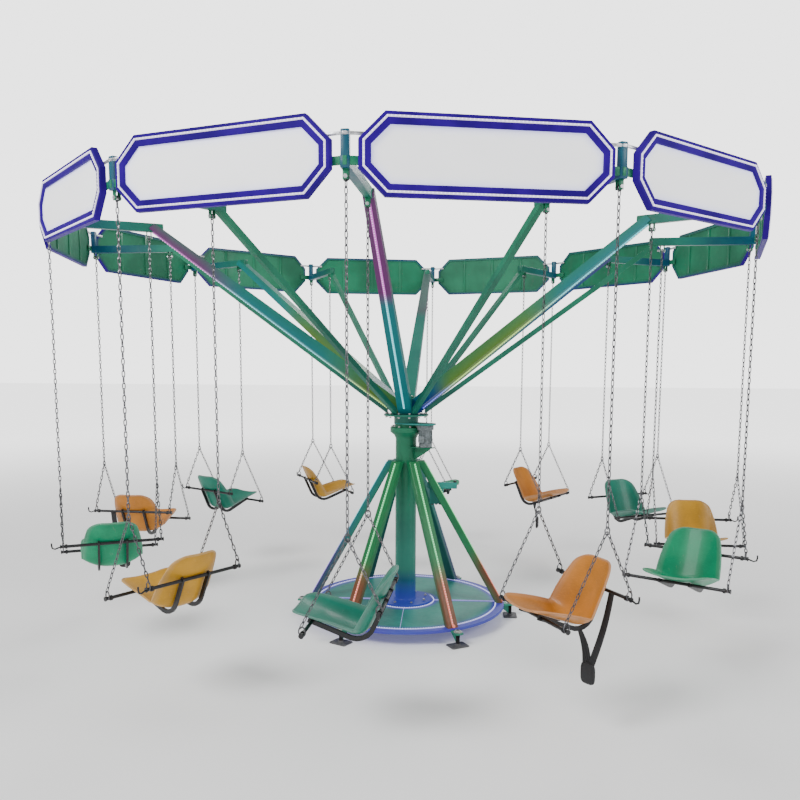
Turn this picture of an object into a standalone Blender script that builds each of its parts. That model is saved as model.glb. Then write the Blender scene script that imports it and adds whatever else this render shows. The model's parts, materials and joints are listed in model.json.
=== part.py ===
"""A chair swing ride of the travelling-fair kind: a round base plate on levelling feet, a column
propped by six sloping legs, and a turning top whose twelve radial beams each carry one bucket
seat on two chains and meet a ring of octagonal light panels.

Metres, +Z up. The ground is z = 0 and the top turns about the Z axis. An azimuth is measured
from the front (-Y) towards +X, and a piece is drawn with its local +X pointing outwards.
"""

import math

import bmesh
import bpy
from mathutils import Matrix, Vector

# Shared spacing
CLEARANCE = 0.0003
SEAT_COUNT = 12
ARM_COUNT = 6
BEAM_STEP = 360 / SEAT_COUNT
ARM_STEP = 360 / ARM_COUNT

# Base plate and its levelling feet
PLATE_RADIUS = 0.700
PLATE_SIDES = 54
PLATE_TOP = 0.100
PLATE_THICKNESS = 0.018
FOOT_RADIUS = 0.745
FOOT_PAD = (0.095, 0.125, 0.008)
FOOT_SCREW_RADIUS = 0.013
FOOT_NUT_RADIUS = 0.022
FOOT_LUG = (0.640, 0.775, 0.050)
FOOT_LUG_THICKNESS = 0.012
FOOT_WEB_THICKNESS = 0.012

# Column, from its floor flange to the pin that centres the turning top
COLUMN_RADIUS = 0.073
COLUMN_FLANGE_RADIUS = 0.190
COLUMN_FLANGE_THICKNESS = 0.014
NECK_BOTTOM = 1.260
LOWER_FLANGE = (0.111, 1.305, 1.338)
BEARING_RADIUS = 0.080
BEARING_TOP = 1.360
PIN_RADIUS = 0.045
PIN_TOP = 1.412

# Legs: the outer face runs from the column's shoulder down to the plate's edge
LEG_AZIMUTH = 32.9
LEG_TOP = 1.105
LEG_OUTER_TOP = 0.128
LEG_OUTER_FOOT = 0.690
LEG_DEPTH = 0.045
LEG_WIDTH = 0.075

# Drive: a plate on the bearing, a motor hung from it, a shelf on the column below the motor
DRIVE_AZIMUTH = 61.7
DRIVE_PLATE_THICKNESS = 0.010
DRIVE_PLATE_LOBE = 0.072
DRIVE_PLATE_BRIDGE = 0.062
MOTOR_RADIUS = 0.048
MOTOR_REACH = 0.162
MOTOR_BOTTOM = 1.205
SHELF_THICKNESS = 0.006
SHELF_REACH = 0.212
SHELF_WIDTH = 0.090
GUSSET_BOTTOM = 1.135
GUSSET_THICKNESS = 0.012

# Control box on its arm, beside the second leg
BOX_LEG = 1
BOX_ARM = (0.150, 0.360, 0.900, 0.944)
BOX_ARM_THICKNESS = 0.036
BOX_BODY = (0.165, 0.262, 0.790, 0.905)
BOX_BODY_DEPTH = 0.085

# Hub of the turning top
HUB_FLANGE = (0.156, 1.418, 1.430)
HUB_BOSS_RADIUS = 0.085
HUB_BORE_RADIUS = 0.0456
HUB_BORE_TOP = 1.416
HUB_DRUM_APOTHEM = 0.085
HUB_DRUM_TOP = 1.542
HUB_CAP_RADIUS = 0.052
HUB_CAP_TOP = 1.562

# Arms and mid bars rise to the same ring, where the level beams start
TIP_RADIUS = 1.684
TIP_HEIGHT = 2.568
ARM_SLOPE = 0.7074
ARM_ROOT_DEPTH = 0.100
ARM_ROOT_WIDTH = 0.095
ARM_TIP_WIDTH = 0.055
MID_BAR_ROOT = 0.130
MID_BAR_DEPTH = 0.043
MID_BAR_WIDTH = 0.035
TIP_CUT = 0.032

# Level beams with an end post, two chain eyes, and plates behind the panels' ends
BEAM_START = 1.600
BEAM_END = 2.262
BEAM_WIDTH = 0.040
BEAM_BOTTOM = 2.550
BEAM_TOP = 2.600
POST_DEPTH = 0.030
POST_TOP = 2.700
CHAIN_RADII = (1.683, 2.233)
EYE_HEIGHT = 2.520
EYE_PIN_RADIUS = 0.0055
EYE_RING_INNER = 0.0066
EYE_RING_OUTER = 0.013
EYE_RING_WIDTH = 0.0144
EYE_CHEEK_OFFSET = 0.012
EYE_CHEEK_THICKNESS = 0.004
EYE_CHEEK_HALF = 0.012
EYE_PIN_HALF = 0.018

# Octagonal light panels, their front faces on this apothem
PANEL_APOTHEM = 2.2165
PANEL_WIDTH = 1.065
PANEL_BOTTOM = 2.437
PANEL_HEIGHT = 0.329
PANEL_CORNER = 0.107
PANEL_THICKNESS = 0.030
PANEL_BORDER = 0.050
PANEL_RECESS = 0.010
BACK_PLATE_THICKNESS = 0.006
BACK_PLATE_OVERLAP = 0.055
BACK_PLATE_BANDS = ((2.560, 2.596), (2.676, 2.690))

# Seat shell: a pan and a reclined back joined by a fillet, with raised sides
SEAT_RADIUS = sum(CHAIN_RADII) / 2
SEAT_CORNER = (-0.040, 0.525)
PAN_SLOPE = math.radians(21)
BACK_RECLINE = math.radians(24)
PAN_LENGTH = 0.350
BACK_LENGTH = 0.340
SEAT_FILLET = 0.070
SHELL_THICKNESS = 0.006
SHELL_HALF_WIDTH = 0.172
SHELL_TOP_NARROWING = 0.052
SHELL_LIP_NARROWING = 0.016
SHELL_RIM_RISE = 0.028
SHELL_SIDE_RISE = 0.052
SHELL_SIDE_POWER = 2.4
SHELL_COLUMNS = 6
SHELL_ROWS = 9

# Seat hanger: chains, their forked ends and the steel frame under the shell
CHAIN_ROD_RADIUS = 0.006
FORK_HEIGHT = 1.040
FRAME_ROD_RADIUS = 0.009
SIDE_BAR_RADIUS = 0.007
SIDE_BAR_OFFSET = 0.080
FRONT_BAR_ALONG = 0.255
REAR_BAR_ALONG = 0.210
FRAME_GAP = 0.0003

GREEN_PAINT = (0.045, 0.330, 0.200)
TEAL_PAINT = (0.020, 0.290, 0.260)
MOTOR_GREY = (0.300, 0.330, 0.340)
CHAIN_STEEL = (0.380, 0.380, 0.390)
PANEL_WHITE = (0.850, 0.870, 0.880)
SHELL_GREEN = (0.060, 0.480, 0.300)
SHELL_DARK_GREEN = (0.020, 0.240, 0.200)
SHELL_ORANGE = (0.760, 0.360, 0.060)
SHELL_OCHRE = (0.720, 0.460, 0.080)
SHELL_COLOURS = (SHELL_DARK_GREEN, SHELL_ORANGE, SHELL_GREEN, SHELL_OCHRE)


# Scene and materials


def clear_scene():
    for obj in list(bpy.data.objects):
        bpy.data.objects.remove(obj, do_unlink=True)


def new_collection(name):
    collection = bpy.data.collections.new(name)
    bpy.context.scene.collection.children.link(collection)
    return collection


def material(name, colour, roughness, metallic=0.0):
    found = bpy.data.materials.get(name)
    if found:
        return found
    made = bpy.data.materials.new(name)
    made.use_nodes = True
    surface = made.node_tree.nodes["Principled BSDF"]
    surface.inputs["Base Color"].default_value = (*colour, 1.0)
    surface.inputs["Roughness"].default_value = roughness
    surface.inputs["Metallic"].default_value = metallic
    made.diffuse_color = (*colour, 1.0)
    return made


# Mesh helpers. Each returns a mesh datablock in the piece's own frame.


def finish_mesh(name, bm):
    bmesh.ops.recalc_face_normals(bm, faces=bm.faces)
    mesh = bpy.data.meshes.new(name)
    bm.to_mesh(mesh)
    bm.free()
    return mesh


def block(x_range, y_range, z_range):
    """A plain box between the given limits."""
    bm = bmesh.new()
    size = [high - low for low, high in (x_range, y_range, z_range)]
    centre = [(high + low) / 2 for low, high in (x_range, y_range, z_range)]
    place = Matrix.Translation(centre) @ Matrix.Diagonal((*size, 1.0))
    bmesh.ops.create_cube(bm, size=1.0, matrix=place)
    return finish_mesh("block", bm)


def slanted_box(inner_edge, outer_edge, inner_half_width, outer_half_width):
    """A box whose side view is a quadrilateral. Each edge is ((x, low z), (x, high z))."""
    bm = bmesh.new()
    bmesh.ops.create_cube(bm, size=2.0)
    for vertex in bm.verts:
        edge = inner_edge if vertex.co.x < 0 else outer_edge
        half_width = inner_half_width if vertex.co.x < 0 else outer_half_width
        x, z = edge[0] if vertex.co.z < 0 else edge[1]
        vertex.co = (x, math.copysign(half_width, vertex.co.y), z)
    return finish_mesh("slanted_box", bm)


def rod(start, end, radius, sides):
    """A straight round bar from start to end."""
    start, end = Vector(start), Vector(end)
    length = (end - start).length
    turn = (end - start).to_track_quat("Z", "Y").to_matrix().to_4x4()
    bm = bmesh.new()
    bmesh.ops.create_cone(
        bm,
        cap_ends=True,
        segments=sides,
        radius1=radius,
        radius2=radius,
        depth=length,
        matrix=Matrix.Translation((start + end) / 2) @ turn,
    )
    return finish_mesh("rod", bm)


def bent_bar(points, radius):
    """A six-sided bar along a poly line, with its end caps welded on."""
    curve = bpy.data.curves.new("bent_bar", "CURVE")
    curve.dimensions = "3D"
    curve.bevel_depth = radius
    curve.bevel_resolution = 1
    curve.use_fill_caps = True
    spline = curve.splines.new("POLY")
    spline.points.add(len(points) - 1)
    for target, point in zip(spline.points, points):
        target.co = (*point, 1.0)
    holder = bpy.data.objects.new("bent_bar", curve)
    bpy.context.scene.collection.objects.link(holder)
    mesh = evaluated_mesh(holder)
    bpy.data.objects.remove(holder, do_unlink=True)
    bm = bmesh.new()
    bm.from_mesh(mesh)
    bmesh.ops.remove_doubles(bm, verts=bm.verts, dist=1e-6)
    return finish_mesh("bent_bar", bm)


def turned_solid(profile, steps):
    """A solid of revolution. The profile is (radius, height) points, down its outer side."""
    mesh = bpy.data.meshes.new("profile")
    edges = [(i, i + 1) for i in range(len(profile) - 1)]
    mesh.from_pydata([(radius, 0.0, height) for radius, height in profile], edges, [])
    holder = bpy.data.objects.new("profile", mesh)
    bpy.context.scene.collection.objects.link(holder)
    screw = holder.modifiers.new("Screw", "SCREW")
    screw.steps = steps
    screw.render_steps = steps
    screw.use_merge_vertices = True
    screw.merge_threshold = 1e-5
    solid = evaluated_mesh(holder)
    bpy.data.objects.remove(holder, do_unlink=True)
    bm = bmesh.new()
    bm.from_mesh(solid)
    return finish_mesh("turned", bm)


def washer(inner_radius, outer_radius, half_width, x, z, sides):
    """A flat ring whose axis lies along X."""
    profile = (
        (inner_radius, half_width),
        (outer_radius, half_width),
        (outer_radius, -half_width),
        (inner_radius, -half_width),
        (inner_radius, half_width),
    )
    mesh = turned_solid(profile, sides)
    bm = bmesh.new()
    bm.from_mesh(mesh)
    bmesh.ops.remove_doubles(bm, verts=bm.verts, dist=1e-6)
    tilt = Matrix.Rotation(math.radians(90), 4, "Y")
    bmesh.ops.transform(bm, verts=bm.verts, matrix=Matrix.Translation((x, 0.0, z)) @ tilt)
    return finish_mesh("washer", bm)


def moved(mesh, matrix):
    """The mesh, transformed in place."""
    mesh.transform(matrix)
    return mesh


def evaluated_mesh(obj):
    bpy.context.view_layer.update()
    graph = bpy.context.evaluated_depsgraph_get()
    return bpy.data.meshes.new_from_object(obj.evaluated_get(graph))


def combine(name, meshes, operation="UNION"):
    """One closed mesh from the first mesh and each of the others."""
    holders = []
    for mesh in meshes:
        holder = bpy.data.objects.new("piece", mesh)
        bpy.context.scene.collection.objects.link(holder)
        holders.append(holder)
    body, others = holders[0], holders[1:]
    for other in others:
        join = body.modifiers.new("Join", "BOOLEAN")
        join.operation = operation
        join.solver = "EXACT"
        join.object = other
    made = evaluated_mesh(body)
    made.name = name
    for holder in holders:
        bpy.data.objects.remove(holder, do_unlink=True)
    return made


def direction(azimuth):
    """The turn about Z that points local +X outwards along an azimuth, in radians."""
    return math.radians(azimuth - 90)


def place(collection, name, mesh, surface, azimuth=0.0, parent=None, smooth_angle=None):
    """Links an object for the mesh, turned to its azimuth, or riding on its parent's axis."""
    obj = bpy.data.objects.new(name, mesh)
    collection.objects.link(obj)
    if not mesh.materials:
        mesh.materials.append(surface)
    obj.material_slots[0].link = "OBJECT"
    obj.material_slots[0].material = surface
    if smooth_angle:
        mesh.shade_smooth()
        mesh.set_sharp_from_angle(angle=math.radians(smooth_angle))
    if parent:
        obj.parent = parent
    else:
        obj.rotation_euler.z = direction(azimuth)
    return obj


# Base


def levelling_foot():
    """One foot at FOOT_RADIUS: lug and web under the plate, screw, nut and ground pad."""
    pad_depth, pad_width, pad_thickness = FOOT_PAD
    lug_start, lug_end, lug_width = FOOT_LUG
    lug_top = PLATE_TOP - PLATE_THICKNESS / 2
    lug_bottom = lug_top - FOOT_LUG_THICKNESS
    overlap = 0.004
    pad = block(
        (FOOT_RADIUS - pad_depth / 2, FOOT_RADIUS + pad_depth / 2),
        (-pad_width / 2, pad_width / 2),
        (0.0, pad_thickness),
    )
    screw = rod(
        (FOOT_RADIUS, 0.0, pad_thickness - overlap),
        (FOOT_RADIUS, 0.0, lug_top + overlap),
        FOOT_SCREW_RADIUS,
        8,
    )
    nut = rod(
        (FOOT_RADIUS, 0.0, lug_top - overlap),
        (FOOT_RADIUS, 0.0, PLATE_TOP + overlap),
        FOOT_NUT_RADIUS,
        6,
    )
    lug = block((lug_start, lug_end), (-lug_width / 2, lug_width / 2), (lug_bottom, lug_top))
    web = slanted_box(
        ((lug_start + 0.020, lug_bottom - overlap), (lug_start + 0.020, lug_bottom + overlap)),
        ((FOOT_RADIUS, pad_thickness + overlap), (FOOT_RADIUS, lug_bottom + overlap)),
        FOOT_WEB_THICKNESS / 2,
        FOOT_WEB_THICKNESS / 2,
    )
    return combine("foot", [lug, screw, nut, pad, web])


def base_plate():
    """The round plate with a foot under the end of each leg."""
    plate = rod((0.0, 0.0, PLATE_TOP - PLATE_THICKNESS), (0.0, 0.0, PLATE_TOP), PLATE_RADIUS, PLATE_SIDES)
    pieces = [plate]
    for index in range(ARM_COUNT):
        turn = Matrix.Rotation(direction(LEG_AZIMUTH + index * ARM_STEP), 4, "Z")
        pieces.append(moved(levelling_foot(), turn))
    return combine("base_plate", pieces)


def column():
    """The column as a turned post, with the motor's shelf and gusset welded to its side."""
    flange_radius, flange_bottom, flange_top = LOWER_FLANGE
    foot_top = PLATE_TOP + CLEARANCE + COLUMN_FLANGE_THICKNESS
    profile = (
        (0.0, PIN_TOP),
        (PIN_RADIUS, PIN_TOP),
        (PIN_RADIUS, BEARING_TOP),
        (BEARING_RADIUS, BEARING_TOP),
        (BEARING_RADIUS, flange_top),
        (flange_radius, flange_top),
        (flange_radius, flange_bottom),
        (COLUMN_RADIUS, NECK_BOTTOM),
        (COLUMN_RADIUS, foot_top),
        (COLUMN_FLANGE_RADIUS, foot_top),
        (COLUMN_FLANGE_RADIUS, PLATE_TOP + CLEARANCE),
        (0.0, PLATE_TOP + CLEARANCE),
    )
    post = turned_solid(profile, 24)
    shelf_top = MOTOR_BOTTOM - CLEARANCE
    shelf_bottom = shelf_top - SHELF_THICKNESS
    root = COLUMN_RADIUS / 2
    shelf = block(
        (root, SHELF_REACH), (-SHELF_WIDTH / 2, SHELF_WIDTH / 2), (shelf_bottom, shelf_top)
    )
    gusset = slanted_box(
        ((root, GUSSET_BOTTOM - 0.030), (root, shelf_top - 0.002)),
        ((SHELF_REACH - 0.015, shelf_bottom - 0.004), (SHELF_REACH - 0.015, shelf_top - 0.002)),
        GUSSET_THICKNESS / 2,
        GUSSET_THICKNESS / 2,
    )
    turn = Matrix.Rotation(direction(DRIVE_AZIMUTH), 4, "Z")
    return combine("column", [post, moved(shelf, turn), moved(gusset, turn)])


def leg():
    """One leg, cut level at its top and at the plate."""
    foot = PLATE_TOP + CLEARANCE
    run = LEG_OUTER_FOOT - LEG_OUTER_TOP
    rise = LEG_TOP - foot
    level_depth = LEG_DEPTH * math.hypot(run, rise) / rise
    return slanted_box(
        ((LEG_OUTER_TOP - level_depth, LEG_TOP), (LEG_OUTER_TOP, LEG_TOP)),
        ((LEG_OUTER_FOOT - level_depth, foot), (LEG_OUTER_FOOT, foot)),
        LEG_WIDTH / 2,
        LEG_WIDTH / 2,
    )


def drive_plate():
    """A plate with a round lobe over the motor and a hole for the centring pin."""
    bottom = BEARING_TOP + CLEARANCE
    top = bottom + DRIVE_PLATE_THICKNESS
    centre = rod((0.0, 0.0, bottom), (0.0, 0.0, top), HUB_BOSS_RADIUS, 24)
    lobe = rod((MOTOR_REACH, 0.0, bottom), (MOTOR_REACH, 0.0, top), DRIVE_PLATE_LOBE, 24)
    bridge = block((0.0, MOTOR_REACH), (-DRIVE_PLATE_BRIDGE, DRIVE_PLATE_BRIDGE), (bottom, top))
    joined = combine("plate", [centre, bridge, lobe])
    hole = rod(
        (0.0, 0.0, bottom - 0.010), (0.0, 0.0, top + 0.010), PIN_RADIUS + CLEARANCE * 2, 24
    )
    return combine("drive_plate", [joined, hole], "DIFFERENCE")


def drive_motor():
    """The motor's can, with a narrower gearbox neck up to the plate."""
    top = BEARING_TOP
    neck = 0.030
    can = rod(
        (MOTOR_REACH, 0.0, MOTOR_BOTTOM), (MOTOR_REACH, 0.0, top - neck), MOTOR_RADIUS, 20
    )
    gearbox = block(
        (MOTOR_REACH - 0.042, MOTOR_REACH + 0.042), (-0.042, 0.042), (top - neck - 0.006, top)
    )
    return combine("drive_motor", [can, gearbox])


def control_box():
    """A box hung from a short arm that is bolted to the side of a leg."""
    side = LEG_WIDTH / 2 + CLEARANCE
    arm_start, arm_end, arm_bottom, arm_top = BOX_ARM
    box_start, box_end, box_bottom, box_top = BOX_BODY
    arm = block((arm_start, arm_end), (side, side + BOX_ARM_THICKNESS), (arm_bottom, arm_top))
    body = block((box_start, box_end), (side, side + BOX_BODY_DEPTH), (box_bottom, box_top))
    return combine("control_box", [arm, body])


# Turning top


def hub():
    """A flange and boss over the centring pin, and a six-sided drum that takes the arms."""
    flange_radius, flange_bottom, flange_top = HUB_FLANGE
    boss_bottom = BEARING_TOP + DRIVE_PLATE_THICKNESS + 2 * CLEARANCE
    profile = (
        (0.0, flange_top),
        (flange_radius, flange_top),
        (flange_radius, flange_bottom),
        (HUB_BOSS_RADIUS, flange_bottom),
        (HUB_BOSS_RADIUS, boss_bottom),
        (HUB_BORE_RADIUS, boss_bottom),
        (HUB_BORE_RADIUS, HUB_BORE_TOP),
        (0.0, HUB_BORE_TOP),
    )
    turned = turned_solid(profile, 24)
    drum_radius = HUB_DRUM_APOTHEM / math.cos(math.radians(30))
    drum = rod(
        (0.0, 0.0, flange_top - 0.005), (0.0, 0.0, HUB_DRUM_TOP), drum_radius, ARM_COUNT
    )
    drum.transform(Matrix.Rotation(drum_turn(drum), 4, "Z"))
    cap = rod((0.0, 0.0, HUB_DRUM_TOP - 0.005), (0.0, 0.0, HUB_CAP_TOP), HUB_CAP_RADIUS, 16)
    return combine("hub", [turned, drum, cap])


def drum_turn(drum):
    """The turn that brings the middle of one flat of the drum to the front arm's azimuth."""
    corner = drum.vertices[0].co
    return direction(0) + math.radians(30) - math.atan2(corner.y, corner.x)


def chain_eye(radius):
    """Two cheeks under the beam with a pin between them, along the beam."""
    pieces = []
    for side in (-1, 1):
        middle = radius + side * EYE_CHEEK_OFFSET
        pieces.append(
            block(
                (middle - EYE_CHEEK_THICKNESS / 2, middle + EYE_CHEEK_THICKNESS / 2),
                (-EYE_CHEEK_HALF, EYE_CHEEK_HALF),
                (EYE_HEIGHT - EYE_CHEEK_HALF, BEAM_BOTTOM + 0.005),
            )
        )
    pin_start = (radius - EYE_PIN_HALF, 0.0, EYE_HEIGHT)
    pin_end = (radius + EYE_PIN_HALF, 0.0, EYE_HEIGHT)
    pieces.append(rod(pin_start, pin_end, EYE_PIN_RADIUS, 6))
    return pieces


def back_plates():
    """Plates across the beam's end, lying against the backs of the two panels that meet there."""
    front = PANEL_APOTHEM - PANEL_THICKNESS - CLEARANCE
    half_step = math.radians(BEAM_STEP / 2)
    to_beam = front * math.tan(half_step)
    pieces = []
    for side in (-1, 1):
        turn = Matrix.Rotation(side * half_step, 4, "Z")
        ends = (side * -(to_beam + 0.008), side * -(PANEL_WIDTH / 2 - BACK_PLATE_OVERLAP))
        for band in BACK_PLATE_BANDS:
            plate = block((front - BACK_PLATE_THICKNESS, front), (min(ends), max(ends)), band)
            pieces.append(moved(plate, turn))
    return pieces


def beam_pieces():
    """The level beam, its end post, the two chain eyes and the plates behind the panels."""
    half = BEAM_WIDTH / 2
    beam = block((BEAM_START, BEAM_END), (-half, half), (BEAM_BOTTOM, BEAM_TOP))
    post = block(
        (BEAM_END - POST_DEPTH - 0.002, BEAM_END - 0.002),
        (-half + 0.002, half - 0.002),
        (BEAM_BOTTOM + 0.004, POST_TOP),
    )
    eyes = [piece for radius in CHAIN_RADII for piece in chain_eye(radius)]
    return [beam, post, *eyes, *back_plates()]


def main_arm():
    """A tapered arm from a flat of the hub's drum, and the beam that it carries."""
    root = HUB_DRUM_APOTHEM + CLEARANCE
    root_low = TIP_HEIGHT - (TIP_RADIUS - root) * ARM_SLOPE
    arm = slanted_box(
        ((root, root_low), (root, root_low + ARM_ROOT_DEPTH)),
        ((TIP_RADIUS, TIP_HEIGHT), (TIP_RADIUS - TIP_CUT, TIP_HEIGHT + TIP_CUT)),
        ARM_ROOT_WIDTH / 2,
        ARM_TIP_WIDTH / 2,
    )
    return combine("main_arm", [arm, *beam_pieces()])


def mid_bar():
    """A slim bar from the hub's flange, between two arms, and the beam that it carries."""
    foot = HUB_FLANGE[2] + CLEARANCE
    bar = slanted_box(
        ((MID_BAR_ROOT, foot), (MID_BAR_ROOT, foot + MID_BAR_DEPTH)),
        ((TIP_RADIUS, TIP_HEIGHT), (TIP_RADIUS - TIP_CUT, TIP_HEIGHT + TIP_CUT * 0.6)),
        MID_BAR_WIDTH / 2,
        MID_BAR_WIDTH / 2,
    )
    return combine("mid_bar", [bar, *beam_pieces()])


def light_panel():
    """An octagonal board with a raised border, its front face outwards."""
    bm = bmesh.new()
    size = Matrix.Diagonal((PANEL_THICKNESS, PANEL_WIDTH, PANEL_HEIGHT, 1.0))
    centre = (PANEL_APOTHEM - PANEL_THICKNESS / 2, 0.0, PANEL_BOTTOM + PANEL_HEIGHT / 2)
    bmesh.ops.create_cube(bm, size=1.0, matrix=Matrix.Translation(centre) @ size)
    corners = [
        edge
        for edge in bm.edges
        if abs(edge.verts[0].co.x - edge.verts[1].co.x) > PANEL_THICKNESS / 2
    ]
    bmesh.ops.bevel(
        bm,
        geom=corners,
        offset=PANEL_CORNER,
        offset_type="OFFSET",
        segments=1,
        profile=0.5,
        affect="EDGES",
    )
    bm.faces.ensure_lookup_table()
    front = max(bm.faces, key=lambda face: face.calc_center_median().x)
    bmesh.ops.inset_region(bm, faces=[front], thickness=PANEL_BORDER, use_even_offset=True)
    bmesh.ops.translate(bm, verts=front.verts, vec=(-PANEL_RECESS, 0.0, 0.0))
    return finish_mesh("light_panel", bm)


# Seats. In the seat's frame X points outwards, the sitter faces -Y, and z = 0 is the eyes' axis.


def seat_opening():
    """The angle between the pan and the back."""
    return math.pi / 2 + BACK_RECLINE - PAN_SLOPE


def fillet_tangent():
    """How far from the seat's corner the fillet starts."""
    return SEAT_FILLET / math.tan(seat_opening() / 2)


def seat_profile(along, offset=0.0):
    """A point on the seat's centre line, (forward, height), pushed out of the seat by offset.

    along runs from the front lip (0) through the fillet to the top of the back (1). The second
    value is the direction out of the seat there.
    """
    tangent = fillet_tangent()
    turn = math.pi - seat_opening()
    lengths = (PAN_LENGTH - tangent, SEAT_FILLET * turn, BACK_LENGTH - tangent)
    distance = along * sum(lengths)
    corner = Vector(SEAT_CORNER)
    pan = Vector((math.cos(PAN_SLOPE), math.sin(PAN_SLOPE)))
    back = Vector((-math.sin(BACK_RECLINE), math.cos(BACK_RECLINE)))
    pan_out = Vector((pan.y, -pan.x))
    if distance <= lengths[0]:
        return corner + pan * (PAN_LENGTH - distance) + pan_out * offset, pan_out
    distance -= lengths[0]
    if distance <= lengths[1]:
        swept = distance / SEAT_FILLET
        out = Matrix.Rotation(-swept, 2) @ pan_out
        centre = corner + pan * tangent - pan_out * SEAT_FILLET
        return centre + out * (SEAT_FILLET + offset), out
    distance -= lengths[1]
    back_out = Vector((-back.y, back.x))
    return corner + back * (tangent + distance) + back_out * offset, back_out


def seat_shell():
    """The bucket as an open surface; its thickness comes from a Solidify modifier."""
    bm = bmesh.new()
    bmesh.ops.create_grid(bm, x_segments=SHELL_COLUMNS, y_segments=SHELL_ROWS, size=1.0)
    for vertex in bm.verts:
        across = vertex.co.x
        along = (vertex.co.y + 1) / 2
        point, out = seat_profile(along)
        top = max(0.0, (along - 0.55) / 0.45)
        lip = max(0.0, (0.22 - along) / 0.22)
        half_width = SHELL_HALF_WIDTH - SHELL_TOP_NARROWING * top**2
        half_width -= SHELL_LIP_NARROWING * lip**2
        rise = SHELL_RIM_RISE + SHELL_SIDE_RISE * math.sin(math.pi * along)
        point = point - out * rise * abs(across) ** SHELL_SIDE_POWER
        vertex.co = (across * half_width, -point.x, point.y - EYE_HEIGHT)
    return finish_mesh("seat_shell", bm)


def seat_point(radial, forward, height):
    return (radial, -forward, height - EYE_HEIGHT)


def hanger_side(radial):
    """One chain as a round bar with its eye ring, forked to the frame's two cross bars."""
    front, _ = seat_profile(bar_along(FRONT_BAR_ALONG), frame_offset())
    rear, _ = seat_profile(bar_along(REAR_BAR_ALONG, back=True), frame_offset())
    ring = washer(EYE_RING_INNER, EYE_RING_OUTER, EYE_RING_WIDTH / 2, radial, 0.0, 8)
    chain_top = (radial, 0.0, -(EYE_RING_INNER + EYE_RING_OUTER) / 2)
    fork = seat_point(radial, 0.0, FORK_HEIGHT)
    chain = bent_bar([chain_top, fork, seat_point(radial, *front)], CHAIN_ROD_RADIUS)
    rear_chain = rod(fork, seat_point(radial, *rear), CHAIN_ROD_RADIUS * 0.9, 6)
    return [ring, chain, rear_chain]


def frame_offset():
    """How far the frame's cross bars lie outside the shell's middle surface."""
    return SHELL_THICKNESS / 2 + FRAME_ROD_RADIUS + FRAME_GAP


def bar_along(distance, back=False):
    """A distance from the seat's corner, as the fraction that seat_profile takes."""
    bend = SEAT_FILLET * (math.pi - seat_opening())
    total = PAN_LENGTH + BACK_LENGTH - 2 * fillet_tangent() + bend
    if back:
        return (PAN_LENGTH - 2 * fillet_tangent() + bend + distance) / total
    return (PAN_LENGTH - distance) / total


def seat_hanger():
    """Both chains and the frame: a cross bar before and behind, joined by two side bars."""
    front_along = bar_along(FRONT_BAR_ALONG)
    rear_along = bar_along(REAR_BAR_ALONG, back=True)
    reach = (CHAIN_RADII[1] - CHAIN_RADII[0]) / 2
    overhang = 0.010
    pieces = []
    for along in (front_along, rear_along):
        forward, height = seat_profile(along, frame_offset())[0]
        start = seat_point(-reach - overhang, forward, height)
        end = seat_point(reach + overhang, forward, height)
        pieces.append(rod(start, end, FRAME_ROD_RADIUS, 7))
    for side in (-1, 1):
        pieces.extend(hanger_side(side * reach))
        bend_start = bar_along(fillet_tangent())
        bend_end = bar_along(fillet_tangent(), back=True)
        stations = (front_along, bend_start, (bend_start + bend_end) / 2, bend_end, rear_along)
        path = [
            seat_point(side * SIDE_BAR_OFFSET, *seat_profile(along, frame_offset())[0])
            for along in stations
        ]
        pieces.append(bent_bar(path, SIDE_BAR_RADIUS))
    return combine("seat_hanger", pieces)


# Assembly


def build_base(collection):
    green = material("green_paint", GREEN_PAINT, 0.45)
    teal = material("teal_paint", TEAL_PAINT, 0.45)
    grey = material("motor_grey", MOTOR_GREY, 0.50, 0.40)
    plate = base_plate()
    post = column()
    for mesh in (plate, post):
        mesh.transform(Matrix.Rotation(-direction(0), 4, "Z"))
    place(collection, "base_plate", plate, green, smooth_angle=30)
    place(collection, "column", post, green, smooth_angle=30)
    leg_mesh = leg()
    for index in range(ARM_COUNT):
        place(collection, f"leg_{index + 1}", leg_mesh, green, LEG_AZIMUTH + index * ARM_STEP)
    place(collection, "drive_plate", drive_plate(), teal, DRIVE_AZIMUTH)
    place(collection, "drive_motor", drive_motor(), grey, DRIVE_AZIMUTH, smooth_angle=30)
    place(collection, "control_box", control_box(), teal, LEG_AZIMUTH + BOX_LEG * ARM_STEP)


def build_top(collection):
    green = material("green_paint", GREEN_PAINT, 0.45)
    white = material("panel_white", PANEL_WHITE, 0.55)
    turn = bpy.data.objects.new("top_axis", None)
    turn.location.z = BEARING_TOP
    collection.objects.link(turn)
    pieces = []
    hub_mesh = hub()
    hub_mesh.transform(Matrix.Rotation(-direction(0), 4, "Z"))
    pieces.append(place(collection, "hub", hub_mesh, green))
    arm_mesh = main_arm()
    bar_mesh = mid_bar()
    for index in range(ARM_COUNT):
        azimuth = index * ARM_STEP
        pieces.append(place(collection, f"main_arm_{index + 1}", arm_mesh, green, azimuth))
        between = azimuth + BEAM_STEP
        pieces.append(place(collection, f"mid_bar_{index + 1}", bar_mesh, green, between))
    panel_mesh = light_panel()
    for index in range(SEAT_COUNT):
        azimuth = (index + 0.5) * BEAM_STEP
        pieces.append(place(collection, f"light_panel_{index + 1}", panel_mesh, white, azimuth))
    for piece in pieces:
        piece.parent = turn
        piece.location.z = -BEARING_TOP
    return turn


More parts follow.
